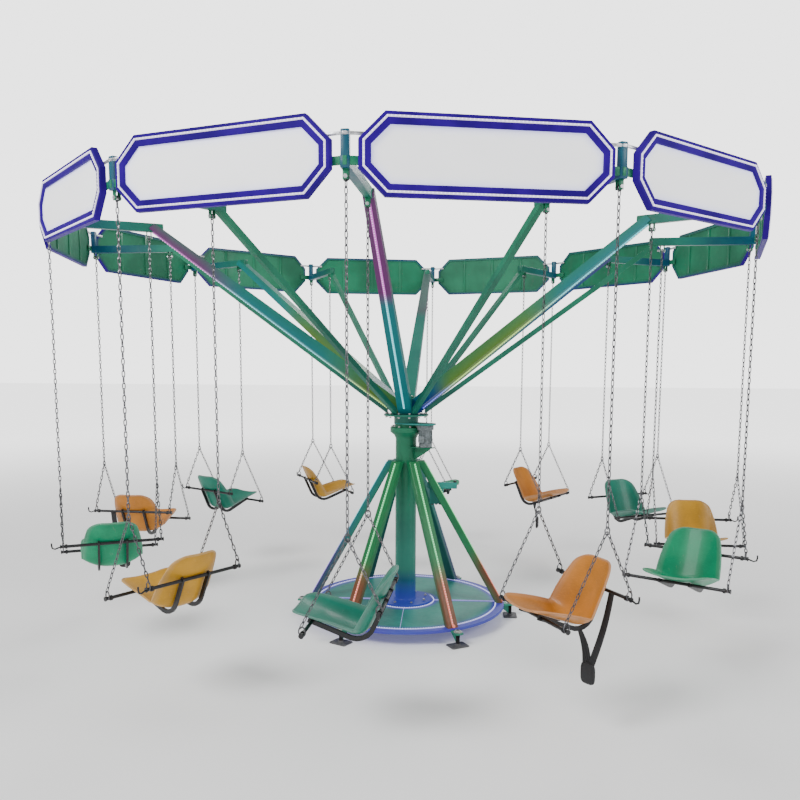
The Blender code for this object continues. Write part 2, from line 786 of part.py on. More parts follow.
def build_seats(collection, turn):
    steel = material("hanger_steel", CHAIN_STEEL, 0.40, 0.90)
    shell_mesh = seat_shell()
    hanger_mesh = seat_hanger()
    for index in range(SEAT_COUNT):
        azimuth = index * BEAM_STEP
        angle = direction(azimuth)
        swing = bpy.data.objects.new(f"seat_{index + 1}_axis", None)
        collection.objects.link(swing)
        swing.parent = turn
        swing.location = (
            SEAT_RADIUS * math.cos(angle),
            SEAT_RADIUS * math.sin(angle),
            EYE_HEIGHT - BEARING_TOP,
        )
        swing.rotation_euler.z = angle
        colour = SHELL_COLOURS[index % len(SHELL_COLOURS)]
        surface = material(f"shell_colour_{index % len(SHELL_COLOURS) + 1}", colour, 0.30)
        shell = place(
            collection, f"seat_shell_{index + 1}", shell_mesh, surface, parent=swing, smooth_angle=60
        )
        thickness = shell.modifiers.new("Solidify", "SOLIDIFY")
        thickness.thickness = SHELL_THICKNESS
        thickness.offset = 0.0
        place(collection, f"seat_hanger_{index + 1}", hanger_mesh, steel, parent=swing)


def main():
    clear_scene()
    collection = new_collection("Chair swing ride")
    build_base(collection)
    turn = build_top(collection)
    build_seats(collection, turn)


main()
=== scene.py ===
"""Looks of a chair swing ride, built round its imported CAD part.

Metres, +Z up, the ground at z = 0 and the turning axis on Z. An azimuth is measured from the front
(-Y) towards +X, and a radial piece is drawn with its local +X pointing outwards.
"""

import json
import math

import bmesh
import bpy
from mathutils import Matrix, Vector

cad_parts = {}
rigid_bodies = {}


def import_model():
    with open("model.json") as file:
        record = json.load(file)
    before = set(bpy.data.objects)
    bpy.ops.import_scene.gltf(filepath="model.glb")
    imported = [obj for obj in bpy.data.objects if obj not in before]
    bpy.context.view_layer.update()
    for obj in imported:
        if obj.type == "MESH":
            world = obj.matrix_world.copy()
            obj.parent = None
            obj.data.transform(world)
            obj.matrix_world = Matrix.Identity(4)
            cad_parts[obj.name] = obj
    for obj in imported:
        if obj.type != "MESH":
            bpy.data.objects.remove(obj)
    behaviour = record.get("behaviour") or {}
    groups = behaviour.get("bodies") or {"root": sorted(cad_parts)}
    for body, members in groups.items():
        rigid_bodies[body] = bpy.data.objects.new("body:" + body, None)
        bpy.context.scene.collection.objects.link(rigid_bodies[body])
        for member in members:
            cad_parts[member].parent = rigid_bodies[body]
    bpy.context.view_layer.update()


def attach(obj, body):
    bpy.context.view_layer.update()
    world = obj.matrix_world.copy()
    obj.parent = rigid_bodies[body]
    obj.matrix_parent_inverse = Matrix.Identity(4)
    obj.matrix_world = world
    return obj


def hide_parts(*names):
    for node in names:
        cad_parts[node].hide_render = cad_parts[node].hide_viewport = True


bl_info = {
    "name": "Chair Swing Ride",
    "version": (1, 0, 0),
    "blender": (4, 5, 0),
    "location": "View3D > Sidebar > Swing Ride",
    "description": "Builds a chair swing ride with its lights, chains and bucket seats",
    "category": "Object",
}

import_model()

SEAT_COUNT = 12
ARM_COUNT = 6
BEAM_STEP = 360 / SEAT_COUNT
ARM_STEP = 360 / ARM_COUNT
# Pieces that meet are kept this far apart
GAP = 0.0003

# Base plate and feet
PLATE_RADIUS = 0.700
PLATE_TOP = 0.100
PLATE_THICKNESS = 0.018
OUTER_LIGHT_RADIUS = 0.641
INNER_LIGHT_RADIUS = 0.203
FOOT_RADIUS = 0.745
LEG_AZIMUTH = 32.9
PLATE_STATIONS = (
    0.005, 0.10, 0.17, 0.19, 0.203, 0.22, 0.25, 0.32, 0.42, 0.52, 0.58, 0.61, 0.63, 0.65, 0.67,
)
PLATE_TOP_EDGE = 0.004
PLATE_BOTTOM_EDGE = 0.003
LINE_AZIMUTH = 3.3
LINE_RISE = 0.004
DOT_RISE = 0.0042
# From the axis to a lug's inner and outer end
LUG_SPAN = (0.640, 0.775)
LUG_THICKNESS = 0.012
# Half a ground pad's size, outwards and across
GROUND_PAD_HALF = (0.0475, 0.0625)

# Column
COLUMN_RADIUS = 0.073
COLUMN_FLANGE_RADIUS = 0.190
COLUMN_FLANGE_THICKNESS = 0.014
NECK_BOTTOM = 1.260
# Radius, bottom and top
LOWER_FLANGE = (0.111, 1.305, 1.338)
BEARING_RADIUS = 0.080
BEARING_TOP = 1.360
DRIVE_AZIMUTH = 61.7
MOTOR_REACH = 0.162
MOTOR_BOTTOM = 1.205
SHELF_REACH = 0.212
COLUMN_STATIONS = (0.125, 0.16, 0.20, 0.26, 0.34, 0.45, 0.70, 1.00, 1.20)
COLUMN_FLANGE_TOP = PLATE_TOP + GAP + COLUMN_FLANGE_THICKNESS
DRIVE_PLATE_THICKNESS = 0.010
COLUMN_BOLTS = 8
COLUMN_BOLT_CIRCLE = 0.150
NECK_BOLT_CIRCLE = 0.099
MOTOR_RADIUS = 0.043
FAN_COVER_RADIUS = 0.046
GEARBOX_HALF = 0.042
DRIVE_PLATE_END_RADIUS = 0.072

# Legs
LEG_TOP = 1.105
LEG_OUTER_TOP = 0.128
LEG_OUTER_FOOT = 0.690
LEG_DEPTH = 0.045
LEG_WIDTH = 0.075
LEG_STATIONS = 22
# Half width and height
LEG_STRIP = (0.0065, 0.004)
LEG_RUN = LEG_OUTER_FOOT - LEG_OUTER_TOP
LEG_RISE = LEG_TOP - PLATE_TOP

# Turning top
# Radius, bottom and top
HUB_FLANGE = (0.156, 1.418, 1.430)
HUB_BOSS_RADIUS = 0.085
HUB_DRUM_APOTHEM = 0.085
HUB_DRUM_TOP = 1.542
HUB_CAP_RADIUS = 0.052
HUB_CAP_TOP = 1.562
TIP_RADIUS = 1.684
TIP_HEIGHT = 2.568
ARM_SLOPE = 0.7074
ARM_ROOT_DEPTH = 0.100
ARM_ROOT_WIDTH = 0.095
ARM_TIP_WIDTH = 0.055
TIP_CUT = 0.032
ARM_STATIONS = 36
# Half width and height
ARM_STRIP = (0.0070, 0.0045)
MID_BAR_FOOT = 0.130
MID_BAR_WIDTH = 0.035
MID_BAR_DEPTH = 0.043
MID_BAR_STATIONS = 12
HUB_BOLTS = 12
HUB_BOLT_CIRCLE = 0.140
BEAM_START = 1.600
BEAM_END = 2.262
BEAM_WIDTH = 0.040
BEAM_BOTTOM = 2.550
BEAM_TOP = 2.600
POST_TOP = 2.700
POST_BOTTOM = 2.554
POST_HALF_WIDTH = 0.018
# Bottom and top, and the finish
BACK_PLATES = (((2.560, 2.596), 0), ((2.676, 2.690), 1))
CHAIN_RADII = (1.683, 2.233)
EYE_HEIGHT = 2.520
EYE_HALF_GAP = 0.012
EYE_CHEEK_HALF = 0.012
EYE_PIN_RADIUS = 0.0052
PANEL_APOTHEM = 2.2165
PANEL_WIDTH = 1.065
PANEL_BOTTOM = 2.437
PANEL_HEIGHT = 0.329
PANEL_CORNER = 0.107
PANEL_THICKNESS = 0.030
PANEL_BORDER = 0.050
PANEL_RECESS = 0.010
# Distances in front of the board and in from its edge
PANEL_LINE = ((0.0, 0.0150), (LINE_RISE, 0.0162), (LINE_RISE, 0.0228), (0.0, 0.0240))
PANEL_DOT_INSET = 0.0195
PANEL_RIBS = (-0.27, 0.0, 0.27)
PANEL_RIB_HALF_WIDTH = 0.011
PANEL_RIB_SPAN = (2.460, 2.743)

# Seats
SEAT_RADIUS = sum(CHAIN_RADII) / 2
SEAT_CORNER = (-0.040, 0.525)
PAN_SLOPE = math.radians(21)
BACK_RECLINE = math.radians(24)
PAN_LENGTH = 0.350
BACK_LENGTH = 0.340
SEAT_FILLET = 0.070
SHELL_THICKNESS = 0.006
FORK_HEIGHT = 1.040
FRONT_BAR_ALONG = 0.255
REAR_BAR_ALONG = 0.210
SHELL_HALF_WIDTH = 0.172
TOP_NARROWING = 0.052
LIP_NARROWING = 0.016
TOP_CORNER = 0.065
LIP_CORNER = 0.050
SIDE_RISE = 0.022
MIDDLE_RISE = 0.036
CHAIN_END = 0.026
BRANCH_START = 0.022
BRANCH_END = 0.044
CHAIN_REACH = (CHAIN_RADII[1] - CHAIN_RADII[0]) / 2
SHELL_ROWS = 40
SHELL_COLUMNS = 24
LIP_RADIUS = 0.0052
CROSS_BAR_RADIUS = 0.009
SIDE_BAR_AT = 0.080
# Thickness and depth
SIDE_BAR_SIZE = (0.012, 0.022)
RING_WIRE = 0.0032
BELT_HALF_WIDTH = 0.019
BELT_HALF_THICKNESS = 0.0012
# Half width and half height
SEWN_PAD_HALF = (0.039, 0.052)

# The photograph's viewpoint: 5.5 m away at head height, its frame shifted up.
# The turns are in degrees
CAMERA_PLACE = (0.607, -5.466, 1.772)
CAMERA_LENS = 35.53
CAMERA_SHIFT = 0.0714
CAMERA_DIP = 6.70
CAMERA_YAW = 0.44
CAMERA_ROLL = 0.23

# Colours of the lights, in linear red, green and blue
DARK = (0.0, 0.0, 0.0)
WHITE = (1.0, 1.0, 1.0)
CYAN = (0.02, 0.72, 0.85)
MAGENTA = (0.66, 0.04, 0.62)
YELLOW_GREEN = (0.42, 0.80, 0.07)
GREEN = (0.05, 0.80, 0.22)
BLUE = (0.02, 0.08, 0.88)
VIOLET = (0.24, 0.08, 0.80)
ORANGE_RED = (0.95, 0.13, 0.04)
CYAN_TO_MAGENTA = ((0.0, CYAN), (0.58, CYAN), (0.63, MAGENTA), (1.0, MAGENTA))
BLUE_TO_CYAN = (
    (0.0, BLUE), (0.10, BLUE), (0.18, YELLOW_GREEN), (0.52, YELLOW_GREEN),
    (0.68, CYAN), (1.0, CYAN),
)
GREEN_TO_VIOLET = ((0.0, GREEN), (0.35, CYAN), (0.80, BLUE), (1.0, VIOLET))
YELLOW_TO_MAGENTA = (
    (0.0, YELLOW_GREEN), (0.14, YELLOW_GREEN), (0.34, CYAN), (0.66, CYAN),
    (0.82, MAGENTA), (1.0, MAGENTA),
)
ARM_LIGHTS = (
    CYAN_TO_MAGENTA, BLUE_TO_CYAN, GREEN_TO_VIOLET,
    CYAN_TO_MAGENTA, BLUE_TO_CYAN, YELLOW_TO_MAGENTA,
)
RED_FOOTED = ((0.0, GREEN), (0.62, GREEN), (0.76, ORANGE_RED), (1.0, ORANGE_RED))
VIOLET_FOOTED = ((0.0, CYAN), (0.40, CYAN), (0.68, VIOLET), (1.0, VIOLET))
LEG_LIGHTS = (
    RED_FOOTED, RED_FOOTED, VIOLET_FOOTED, VIOLET_FOOTED, VIOLET_FOOTED, RED_FOOTED,
)

# What wear, dust and rust bring out, and the painted lamp light on the paint
DUST = (0.07, 0.11, 0.08)
CHIPPED = (0.10, 0.095, 0.085)
SCUFFED = (0.30, 0.32, 0.28)
RUSTED = (0.20, 0.075, 0.025)
# Painted light: how far a lamp's colour is darkened before it is painted into the paint's colour,
# and how brightly the paint glows with it
PAINTED_LIGHT_DARKNESS = 0.87
PAINTED_LAMP_GLOW = 0.07

# Bolts and chain links
BOLT_TAPER = 0.86
LINK_SIDES = 10
WIRE_SIDES = 4
LINK_OVERRUN = 1.6


# Placing


def at_azimuth(azimuth):
    """The turn about Z that points local +X outwards along an azimuth in degrees."""
    return Matrix.Rotation(math.radians(azimuth - 90), 4, "Z")


def seat_place(index):
    """The seat's frame: X outwards, the sitter faces -Y, and z = 0 is the eyes' axis."""
    turn = at_azimuth(index * BEAM_STEP)
    return turn @ Matrix.Translation((SEAT_RADIUS, 0.0, EYE_HEIGHT))


def light_at(pattern, along):
    """The colour of a light strip at a fraction of its length."""
    for (start, first), (end, second) in zip(pattern, pattern[1:]):
        if along <= end:
            share = 0.0 if end == start else (along - start) / (end - start)
            return tuple(a + (b - a) * share for a, b in zip(first, second))
    return pattern[-1][1]


def steps_between(first, last, count):
    """count + 1 values, evenly spaced from first to last."""
    return [first + (last - first) * k / count for k in range(count + 1)]


def lights_along(pattern, count):
    """The colours of a light strip at the ends of count equal steps."""
    return [light_at(pattern, share) for share in steps_between(0.0, 1.0, count)]


def lit(colour, glow=1.0):
    """A lamp function that gives every point the same colour and glow."""
    return lambda point, ring: (colour, glow)


def smooth_step(low, high, value):
    share = min(1.0, max(0.0, (value - low) / (high - low)))
    return share * share * (3 - 2 * share)


def link(thing, name):
    """A new object for a mesh, a light or a camera, in the scene."""
    made = bpy.data.objects.new(name, thing)
    bpy.context.scene.collection.objects.link(made)
    return made


# Mesh building


class Shape:
    """Faces of one mesh, each with its finish, and a lamp colour and glow at each point."""

    def __init__(self):
        self.points, self.faces, self.finishes, self.lamps = [], [], [], []

    def add_point(self, point, lamp=DARK, glow=0.0):
        self.points.append(tuple(point))
        self.lamps.append((*lamp, glow))
        return len(self.points) - 1

    def add_face(self, corners, finish=0):
        self.faces.append(tuple(corners))
        self.finishes.append(finish)

    def loft(self, rings, finish=0, lamp=None, ends=True, place=None):
        """Joins rings of points, moved by place. A lamp function takes a moved point and its
        ring's index, and gives a colour and a glow.
        """
        rows = []
        for index, ring in enumerate(rings):
            row = []
            for point in ring:
                at = place @ Vector(point) if place else point
                row.append(self.add_point(at, *(lamp(at, index) if lamp else (DARK, 0.0))))
            rows.append(row)
        count = len(rows[0])
        for low, high in zip(rows, rows[1:]):
            for i in range(count):
                j = (i + 1) % count
                self.add_face((low[i], low[j], high[j], high[i]), finish)
        if ends:
            self.add_face(rows[0][::-1], finish)
            self.add_face(rows[-1], finish)
        return rows

    def tube(self, path, radius, sides, finish=0, place=None):
        """A round bar along a path, with flat ends."""
        path = [Vector(point) for point in path]
        rings = []
        across = None
        for i, point in enumerate(path):
            ahead = heading(path, i)
            if across is None:
                across = ahead.orthogonal().normalized()
            across = (across - ahead * across.dot(ahead)).normalized()
            up = ahead.cross(across)
            rings.append([
                point + (across * math.cos(angle) + up * math.sin(angle)) * radius
                for angle in (2 * math.pi * k / sides for k in range(sides))
            ])
        self.loft(rings, finish, place=place)

    def turned(self, profile, steps, finish=0, place=None, lamp=None):
        """A closed solid of revolution about Z; the profile runs from one end to the other."""
        angles = [2 * math.pi * k / steps for k in range(steps)]
        rings = [
            [Vector((radius * math.cos(a), radius * math.sin(a), height)) for a in angles]
            for radius, height in profile
        ]
        self.loft(rings, finish, lamp, place=place)

    def ring(self, profile, steps, finish=0, lamp=None):
        """A closed hollow ring about Z whose section is the profile's closed loop."""
        rings = []
        for k in range(steps + 1):
            turn = Matrix.Rotation(2 * math.pi * k / steps, 4, "Z")
            rings.append([turn @ Vector((radius, 0.0, height)) for radius, height in profile])
        self.loft(rings, finish, lamp, ends=False)

    def box(self, x_range, y_range, z_range, finish=0, place=None, edge=0.002, lamp=None):
        """A block with chamfered edges and ends."""
        (x0, x1), (y0, y1), (z0, z1) = x_range, y_range, z_range
        edge = min(edge, (x1 - x0) / 3, (y1 - y0) / 3, (z1 - z0) / 3)
        rings = []
        for x, inset in ((x0, edge), (x0 + edge, 0.0), (x1 - edge, 0.0), (x1, edge)):
            section = rounded_section(y0 + inset, y1 - inset, z0 + inset, z1 - inset, edge)
            rings.append([Vector((x, y, z)) for y, z in section])
        self.loft(rings, finish, lamp, place=place)

    def plate(self, outline, half_thickness, finish, place):
        """A flat plate in the X-Z plane, from its outline's (x, z) corners."""
        sides = [[(x, y, z) for x, z in outline] for y in (-half_thickness, half_thickness)]
        self.loft(sides, finish, place=place)

    def build(self, name, materials, smooth_angle=40.0):
        """Links the finished mesh at the origin, its doubles merged and its faces outwards."""
        mesh = bpy.data.meshes.new(name)
        mesh.from_pydata(self.points, [], self.faces)
        colours = [part for *colour, _ in self.lamps for part in (*colour, 1.0)]
        layer = mesh.attributes.new("lamp_colour", "FLOAT_COLOR", "POINT")
        layer.data.foreach_set("color", colours)
        layer = mesh.attributes.new("lamp_glow", "FLOAT", "POINT")
        layer.data.foreach_set("value", [lamp[3] for lamp in self.lamps])
        mesh.polygons.foreach_set("material_index", self.finishes)
        for material in materials:
            mesh.materials.append(material)
        bm = bmesh.new()
        bm.from_mesh(mesh)
        bmesh.ops.remove_doubles(bm, verts=bm.verts, dist=1e-6)
        bmesh.ops.dissolve_degenerate(bm, dist=1e-6, edges=bm.edges)
        bmesh.ops.recalc_face_normals(bm, faces=bm.faces)
        bm.to_mesh(mesh)
        bm.free()
        mesh.shade_smooth()
        mesh.set_sharp_from_angle(angle=math.radians(smooth_angle))
        return link(mesh, name)


def heading(path, i):
    """The way a path runs at one of its points."""
    return (path[min(i + 1, len(path) - 1)] - path[max(i - 1, 0)]).normalized()


def rounded_section(y0, y1, z0, z1, edge):
    """A rectangle with chamfered corners, anticlockwise."""
    return [
        (y0 + edge, z0),
        (y1 - edge, z0),
        (y1, z0 + edge),
        (y1, z1 - edge),
        (y1 - edge, z1),
        (y0 + edge, z1),
        (y0, z1 - edge),
        (y0, z0 + edge),
    ]


# Geometry Nodes for what repeats


class Tree:
    """A Geometry Nodes tree with named inputs, ended by Realize Instances and Set Material."""

    def __init__(self, name, sizes, finish):
        self.group = bpy.data.node_groups.new(name, "GeometryNodeTree")
        interface = self.group.interface
        interface.new_socket("Geometry", in_out="INPUT", socket_type="NodeSocketGeometry")
        self.values = {}
        for label, value in sizes.items():
            socket = interface.new_socket(label, in_out="INPUT", socket_type="NodeSocketFloat")
            socket.default_value = value
            self.values[socket.identifier] = value
        interface.new_socket("Geometry", in_out="OUTPUT", socket_type="NodeSocketGeometry")
        self.inputs = self.group.nodes.new("NodeGroupInput")
        self.finish = finish

    def node(self, kind, settings=None, links=None, output=0):
        made = self.group.nodes.new(kind)
        for key, value in (settings or {}).items():
            setattr(made, key, value)
        for key, value in (links or {}).items():
            if isinstance(value, bpy.types.NodeSocket):
                self.group.links.new(value, made.inputs[key])
            else:
                made.inputs[key].default_value = value
        return made.outputs[output]

    def math(self, operation, *values):
        return self.node("ShaderNodeMath", {"operation": operation}, dict(enumerate(values)))

    def size(self, label):
        return self.inputs.outputs[label]

    def carrier(self):
        return self.inputs.outputs["Geometry"]

    def row(self, spacing):
        """Points at even steps along the carrier's paths."""
        path = self.node("GeometryNodeMeshToCurve", links={"Mesh": self.carrier()})
        return self.node(
            "GeometryNodeResampleCurve", {"mode": "LENGTH"},
            {"Curve": path, "Length": self.size(spacing)},
        )

    def repeat(self, points, thing, turn=None):
        """Ends the tree with one copy of a thing at each point."""
        links = {"Points": points, "Instance": thing}
        if turn is not None:
            links["Rotation"] = turn
        copies = self.node("GeometryNodeInstanceOnPoints", links=links)
        real = self.node("GeometryNodeRealizeInstances", links={"Geometry": copies})
        coated = self.node(
            "GeometryNodeSetMaterial", links={"Geometry": real, "Material": self.finish}
        )
        out = self.group.nodes.new("NodeGroupOutput")
        self.group.links.new(coated, out.inputs[0])
        return self

    def grow(self, name, carrier, smooth=True):
        """The tree's result on a carrier mesh, as a plain mesh object at the origin."""
        holder = link(carrier, name + "_carrier")
        modifier = holder.modifiers.new("Grow", "NODES")
        modifier.node_group = self.group
        for identifier, value in self.values.items():
            modifier[identifier] = value
        bpy.context.view_layer.update()
        graph = bpy.context.evaluated_depsgraph_get()
        mesh = bpy.data.meshes.new_from_object(holder.evaluated_get(graph))
        bpy.data.objects.remove(holder, do_unlink=True)
        if not mesh.polygons:
            raise RuntimeError(f"{name}: the node tree made no faces")
        mesh.name = name
        bm = bmesh.new()
        bm.from_mesh(mesh)
        bmesh.ops.recalc_face_normals(bm, faces=bm.faces)
        for face in bm.faces:
            face.material_index = 0
        bm.to_mesh(mesh)
        bm.free()
        mesh.materials.clear()
        mesh.materials.append(self.finish)
        if smooth:
            mesh.shade_smooth()
            mesh.set_sharp_from_angle(angle=math.radians(50))
        return link(mesh, name)


def path_mesh(paths, lamps=None):
    """Edges along each path, for trees that follow a path. lamps gives a colour for each point."""
    points, edges = [], []
    for path in paths:
        start = len(points)
        points.extend(tuple(point) for point in path)
        edges.extend((start + i, start + i + 1) for i in range(len(path) - 1))
    mesh = bpy.data.meshes.new("path")
    mesh.from_pydata(points, edges, [])
    if lamps:
        layer = mesh.attributes.new("lamp_colour", "FLOAT_COLOR", "POINT")
        for index, colour in enumerate(colour for path in lamps for colour in path):
            layer.data[index].color = (*colour, 1.0)
    return mesh


def spot_mesh(spots):
    """Loose points, each with the direction it faces, for trees that set bolts."""
    mesh = bpy.data.meshes.new("spots")
    mesh.from_pydata([tuple(point) for point, _ in spots], [], [])
    layer = mesh.attributes.new("facing", "FLOAT_VECTOR", "POINT")
    for index, (_, facing) in enumerate(spots):
        layer.data[index].vector = facing
    return mesh


def dots_tree(finish, settings):
    """Small lamps in a row along each path."""
    sizes = {"Spacing": settings.dot_spacing, "Dot radius": settings.dot_radius}
    tree = Tree("Lamp dots", sizes, finish)
    row = tree.row("Spacing")
    dot = tree.node(
        "GeometryNodeMeshIcoSphere", links={"Radius": tree.size("Dot radius"), "Subdivisions": 1}
    )
    return tree.repeat(row, dot)


def bolts_tree(finish, radius, height):
    """A hexagon head at each spot, facing the spot's way."""
    tree = Tree("Bolt heads", {"Head radius": radius, "Head height": height}, finish)
    facing = tree.node(
        "GeometryNodeInputNamedAttribute", {"data_type": "FLOAT_VECTOR"}, {"Name": "facing"}
    )
    turn = tree.node("FunctionNodeAlignRotationToVector", {"axis": "Z"}, {"Vector": facing})
    spots = tree.node("GeometryNodeMeshToPoints", links={"Mesh": tree.carrier()})
    head = tree.node(
        "GeometryNodeMeshCone",
        links={
            "Vertices": 6,
            "Radius Bottom": tree.size("Head radius"),
            "Radius Top": tree.math("MULTIPLY", tree.size("Head radius"), BOLT_TAPER),
            "Depth": tree.size("Head height"),
        },
    )
    return tree.repeat(spots, head, turn)


def chain_tree(finish, pitch, width, wire):
    """Oval links along each path, each turned a quarter against the one before."""
    tree = Tree("Chain links", {"Pitch": pitch, "Link width": width, "Wire radius": wire}, finish)
    row = tree.row("Pitch")
    along = tree.node("GeometryNodeInputTangent")
    turn = tree.node("FunctionNodeAlignRotationToVector", {"axis": "X"}, {"Vector": along})
    odd = tree.math("MODULO", tree.node("GeometryNodeInputIndex"), 2.0)
    quarter = tree.math("MULTIPLY_ADD", odd, math.pi / 2, math.pi / 4)
    roll = tree.node(
        "FunctionNodeAxisAngleToRotation", links={"Axis": (1.0, 0.0, 0.0), "Angle": quarter}
    )
    rolled = tree.node(
        "FunctionNodeRotateRotation", {"rotation_space": "LOCAL"},
        {"Rotation": turn, "Rotate By": roll},
    )
    oval = tree.node(
        "GeometryNodeCurvePrimitiveCircle", links={"Resolution": LINK_SIDES, "Radius": 1.0}
    )
    half_length = tree.math("MULTIPLY_ADD", tree.size("Pitch"), 0.5, wire * LINK_OVERRUN)
    half_width = tree.math("MULTIPLY_ADD", tree.size("Link width"), 0.5, -wire)
    stretch = tree.node("ShaderNodeCombineXYZ", links={0: half_length, 1: half_width, 2: 1.0})
    line = tree.node("GeometryNodeTransform", links={"Geometry": oval, "Scale": stretch})
    section = tree.node(
        "GeometryNodeCurvePrimitiveCircle",
        links={"Resolution": WIRE_SIDES, "Radius": tree.size("Wire radius")},
    )
    chain_link = tree.node(
        "GeometryNodeCurveToMesh", links={"Curve": line, "Profile Curve": section}
    )
    return tree.repeat(row, chain_link, rolled)


# Finishes


class Signal:
    """A shader value. Arithmetic on it adds Math nodes."""

    def __init__(self, finish, socket):
        self.finish, self.socket = finish, socket

    def math(self, operation, *others, first=None):
        values = [first if first is not None else self, *others]
        return self.finish.add("ShaderNodeMath", {"operation": operation}, dict(enumerate(values)))

    def __add__(self, other):
        return self.math("ADD", other)

    def __mul__(self, other):
        return self.math("MULTIPLY", other)

    def __sub__(self, other):
        return self.math("SUBTRACT", other)

    def __rsub__(self, other):
        return self.math("SUBTRACT", self, first=other)

    __radd__, __rmul__ = __add__, __mul__

    def ramp(self, low, high):
        """0 below low and 1 above high, smooth between."""
        return self.finish.add(
            "ShaderNodeMapRange",
            {"interpolation_type": "SMOOTHSTEP", "clamp": True},
            {0: self, 1: low, 2: high, 3: 0.0, 4: 1.0},
        )


class Finish:
    """One procedural material, with short ways to add nodes to it."""

    def __init__(self, name, colour, roughness, metallic=0.0, coat=0.0, specular=0.5):
        self.material = bpy.data.materials.new(name)
        self.material.use_nodes = True
        self.tree = self.material.node_tree
        self.surface = self.tree.nodes["Principled BSDF"]
        self.set("Base Color", (*colour, 1.0))
        self.set("Roughness", roughness)
        self.set("Metallic", metallic)
        self.set("Coat Weight", coat)
        self.set("Specular IOR Level", specular)
        self.material.diffuse_color = (*colour, 1.0)

    def set(self, name, value):
        if isinstance(value, Signal):
            self.tree.links.new(value.socket, self.surface.inputs[name])
        else:
            self.surface.inputs[name].default_value = value

    def add(self, kind, settings=None, values=None, output=0):
        node = self.tree.nodes.new(kind)
        for key, value in (settings or {}).items():
            setattr(node, key, value)
        for key, value in (values or {}).items():
            if isinstance(value, Signal):
                self.tree.links.new(value.socket, node.inputs[key])
            else:
                node.inputs[key].default_value = value
        return Signal(self, node.outputs[output])

    def place(self):
        return self.add("ShaderNodeTexCoord", output="Object")

    def noise(self, scale, detail=3.0, stretch=(1.0, 1.0, 1.0), roughness=0.55):
        at = self.add("ShaderNodeMapping", values={"Vector": self.place(), "Scale": stretch})
        return self.add(
            "ShaderNodeTexNoise",
            values={"Vector": at, "Scale": scale, "Detail": detail, "Roughness": roughness},
        )

    def attribute(self, name, output):
        return self.add("ShaderNodeAttribute", {"attribute_name": name}, output=output)

    def mix(self, share, first, second):
        first = first if isinstance(first, Signal) else (*first, 1.0)
        second = second if isinstance(second, Signal) else (*second, 1.0)
        return self.add(
            "ShaderNodeMix", {"data_type": "RGBA"}, {0: share, 6: first, 7: second}, output=2
        )

    def bump(self, height, strength, distance):
        self.set(
            "Normal",
            self.add(
                "ShaderNodeBump",
                values={"Height": height, "Strength": strength, "Distance": distance},
            ),
        )

    def glow(self, colour, strength):
        self.set("Emission Color", colour if isinstance(colour, Signal) else (*colour, 1.0))
        self.set("Emission Strength", strength)


def shade(colour, factor):
    return tuple(part * factor for part in colour)


def paint(name, colour):
    """Brushed-on gloss paint, worn and dusty, with the light of the lamps beside it painted into
    its colour and a faint painted glow.
    """
    made = Finish(name, colour, 0.40, coat=0.04, specular=0.25)
    patches = made.noise(2.3, 4.0)
    fine = made.noise(38.0, 3.0)
    base = made.mix(patches.ramp(0.35, 0.65), shade(colour, 0.72), shade(colour, 1.18))
    streaks = made.noise(9.0, 4.0, (1.0, 1.0, 0.16))
    base = made.mix(streaks.ramp(0.60, 0.78) * 0.30, base, DUST)
    chips = made.noise(70.0, 2.0).ramp(0.715, 0.735)
    base = made.mix(chips, base, CHIPPED)
    # Painted light: where lamp_glow is high, the colour turns towards a darkened lamp colour and
    # the paint glows faintly in that colour
    lamp = made.attribute("lamp_colour", "Color")
    share = made.attribute("lamp_glow", "Fac")
    painted_lamp_light = made.mix(PAINTED_LIGHT_DARKNESS, lamp, DARK)
    made.set("Base Color", made.mix(share * 0.92, base, painted_lamp_light))
    made.set("Roughness", fine * 0.22 + streaks * 0.12 + 0.26)
    made.bump(fine * 0.5 + chips * -1.0, 0.22, 0.0012)
    made.glow(made.mix(share, DARK, lamp), PAINTED_LAMP_GLOW)
    return made.material


def lit_strip(name, whiteness, strength):
    """Silicone over a strip of lamps, glowing in the strip's own colours."""
    made = Finish(name, (0.82, 0.84, 0.86), 0.50, specular=0.2)
    lamp = made.attribute("lamp_colour", "Color")
    cells = made.noise(160.0, 1.0).ramp(0.30, 0.70)
    pale = made.mix(cells * 0.12 + (whiteness - 0.06), lamp, WHITE)
    made.set("Base Color", made.mix(0.75, pale, (0.08, 0.08, 0.09)))
    made.glow(pale, strength)
    made.bump(cells, 0.15, 0.0008)
    return made.material


def dot_lamps():
    """The lamps of a strip, glowing in the strip's own colours."""
    made = Finish("Lamp dots", (0.9, 0.9, 0.9), 0.3)
    lamp = made.attribute("lamp_colour", "Color")
    grain = made.noise(200.0, 1.0)
    made.glow(made.mix(grain * 0.14 + 0.08, lamp, WHITE), 1.4)
    return made.material


def moulded_plastic(name, colour):
    """Glossy moulded fibreglass with fine fibres, scuffs and a painted highlight that makes its rim
    paler.
    """
    made = Finish(name, colour, 0.34, coat=0.05, specular=0.22)
    clouds = made.noise(5.0, 3.0)
    fibres = made.noise(55.0, 3.0, (1.0, 1.0, 4.0))
    scuffs = made.noise(21.0, 6.0, (3.5, 1.0, 1.0), 0.7).ramp(0.60, 0.72)
    base = made.mix(clouds.ramp(0.3, 0.7), shade(colour, 0.80), shade(colour, 1.14))
    base = made.mix(fibres.ramp(0.45, 0.75) * 0.25, base, shade(colour, 1.5))
    base = made.mix(scuffs * 0.22, base, SCUFFED)
    # Painted highlight: the shell turns paler along its rim, where lamp_glow marks the rim rows
    edge = made.attribute("lamp_glow", "Fac")
    painted_edge_highlight = tuple(0.7 * part + 0.16 for part in colour)
    made.set("Base Color", made.mix(edge * 0.50, base, painted_edge_highlight))
    made.set("Roughness", clouds * 0.16 + scuffs * 0.22 + 0.29)
    made.bump(fibres * 0.4 + clouds, 0.08, 0.002)
    return made.material


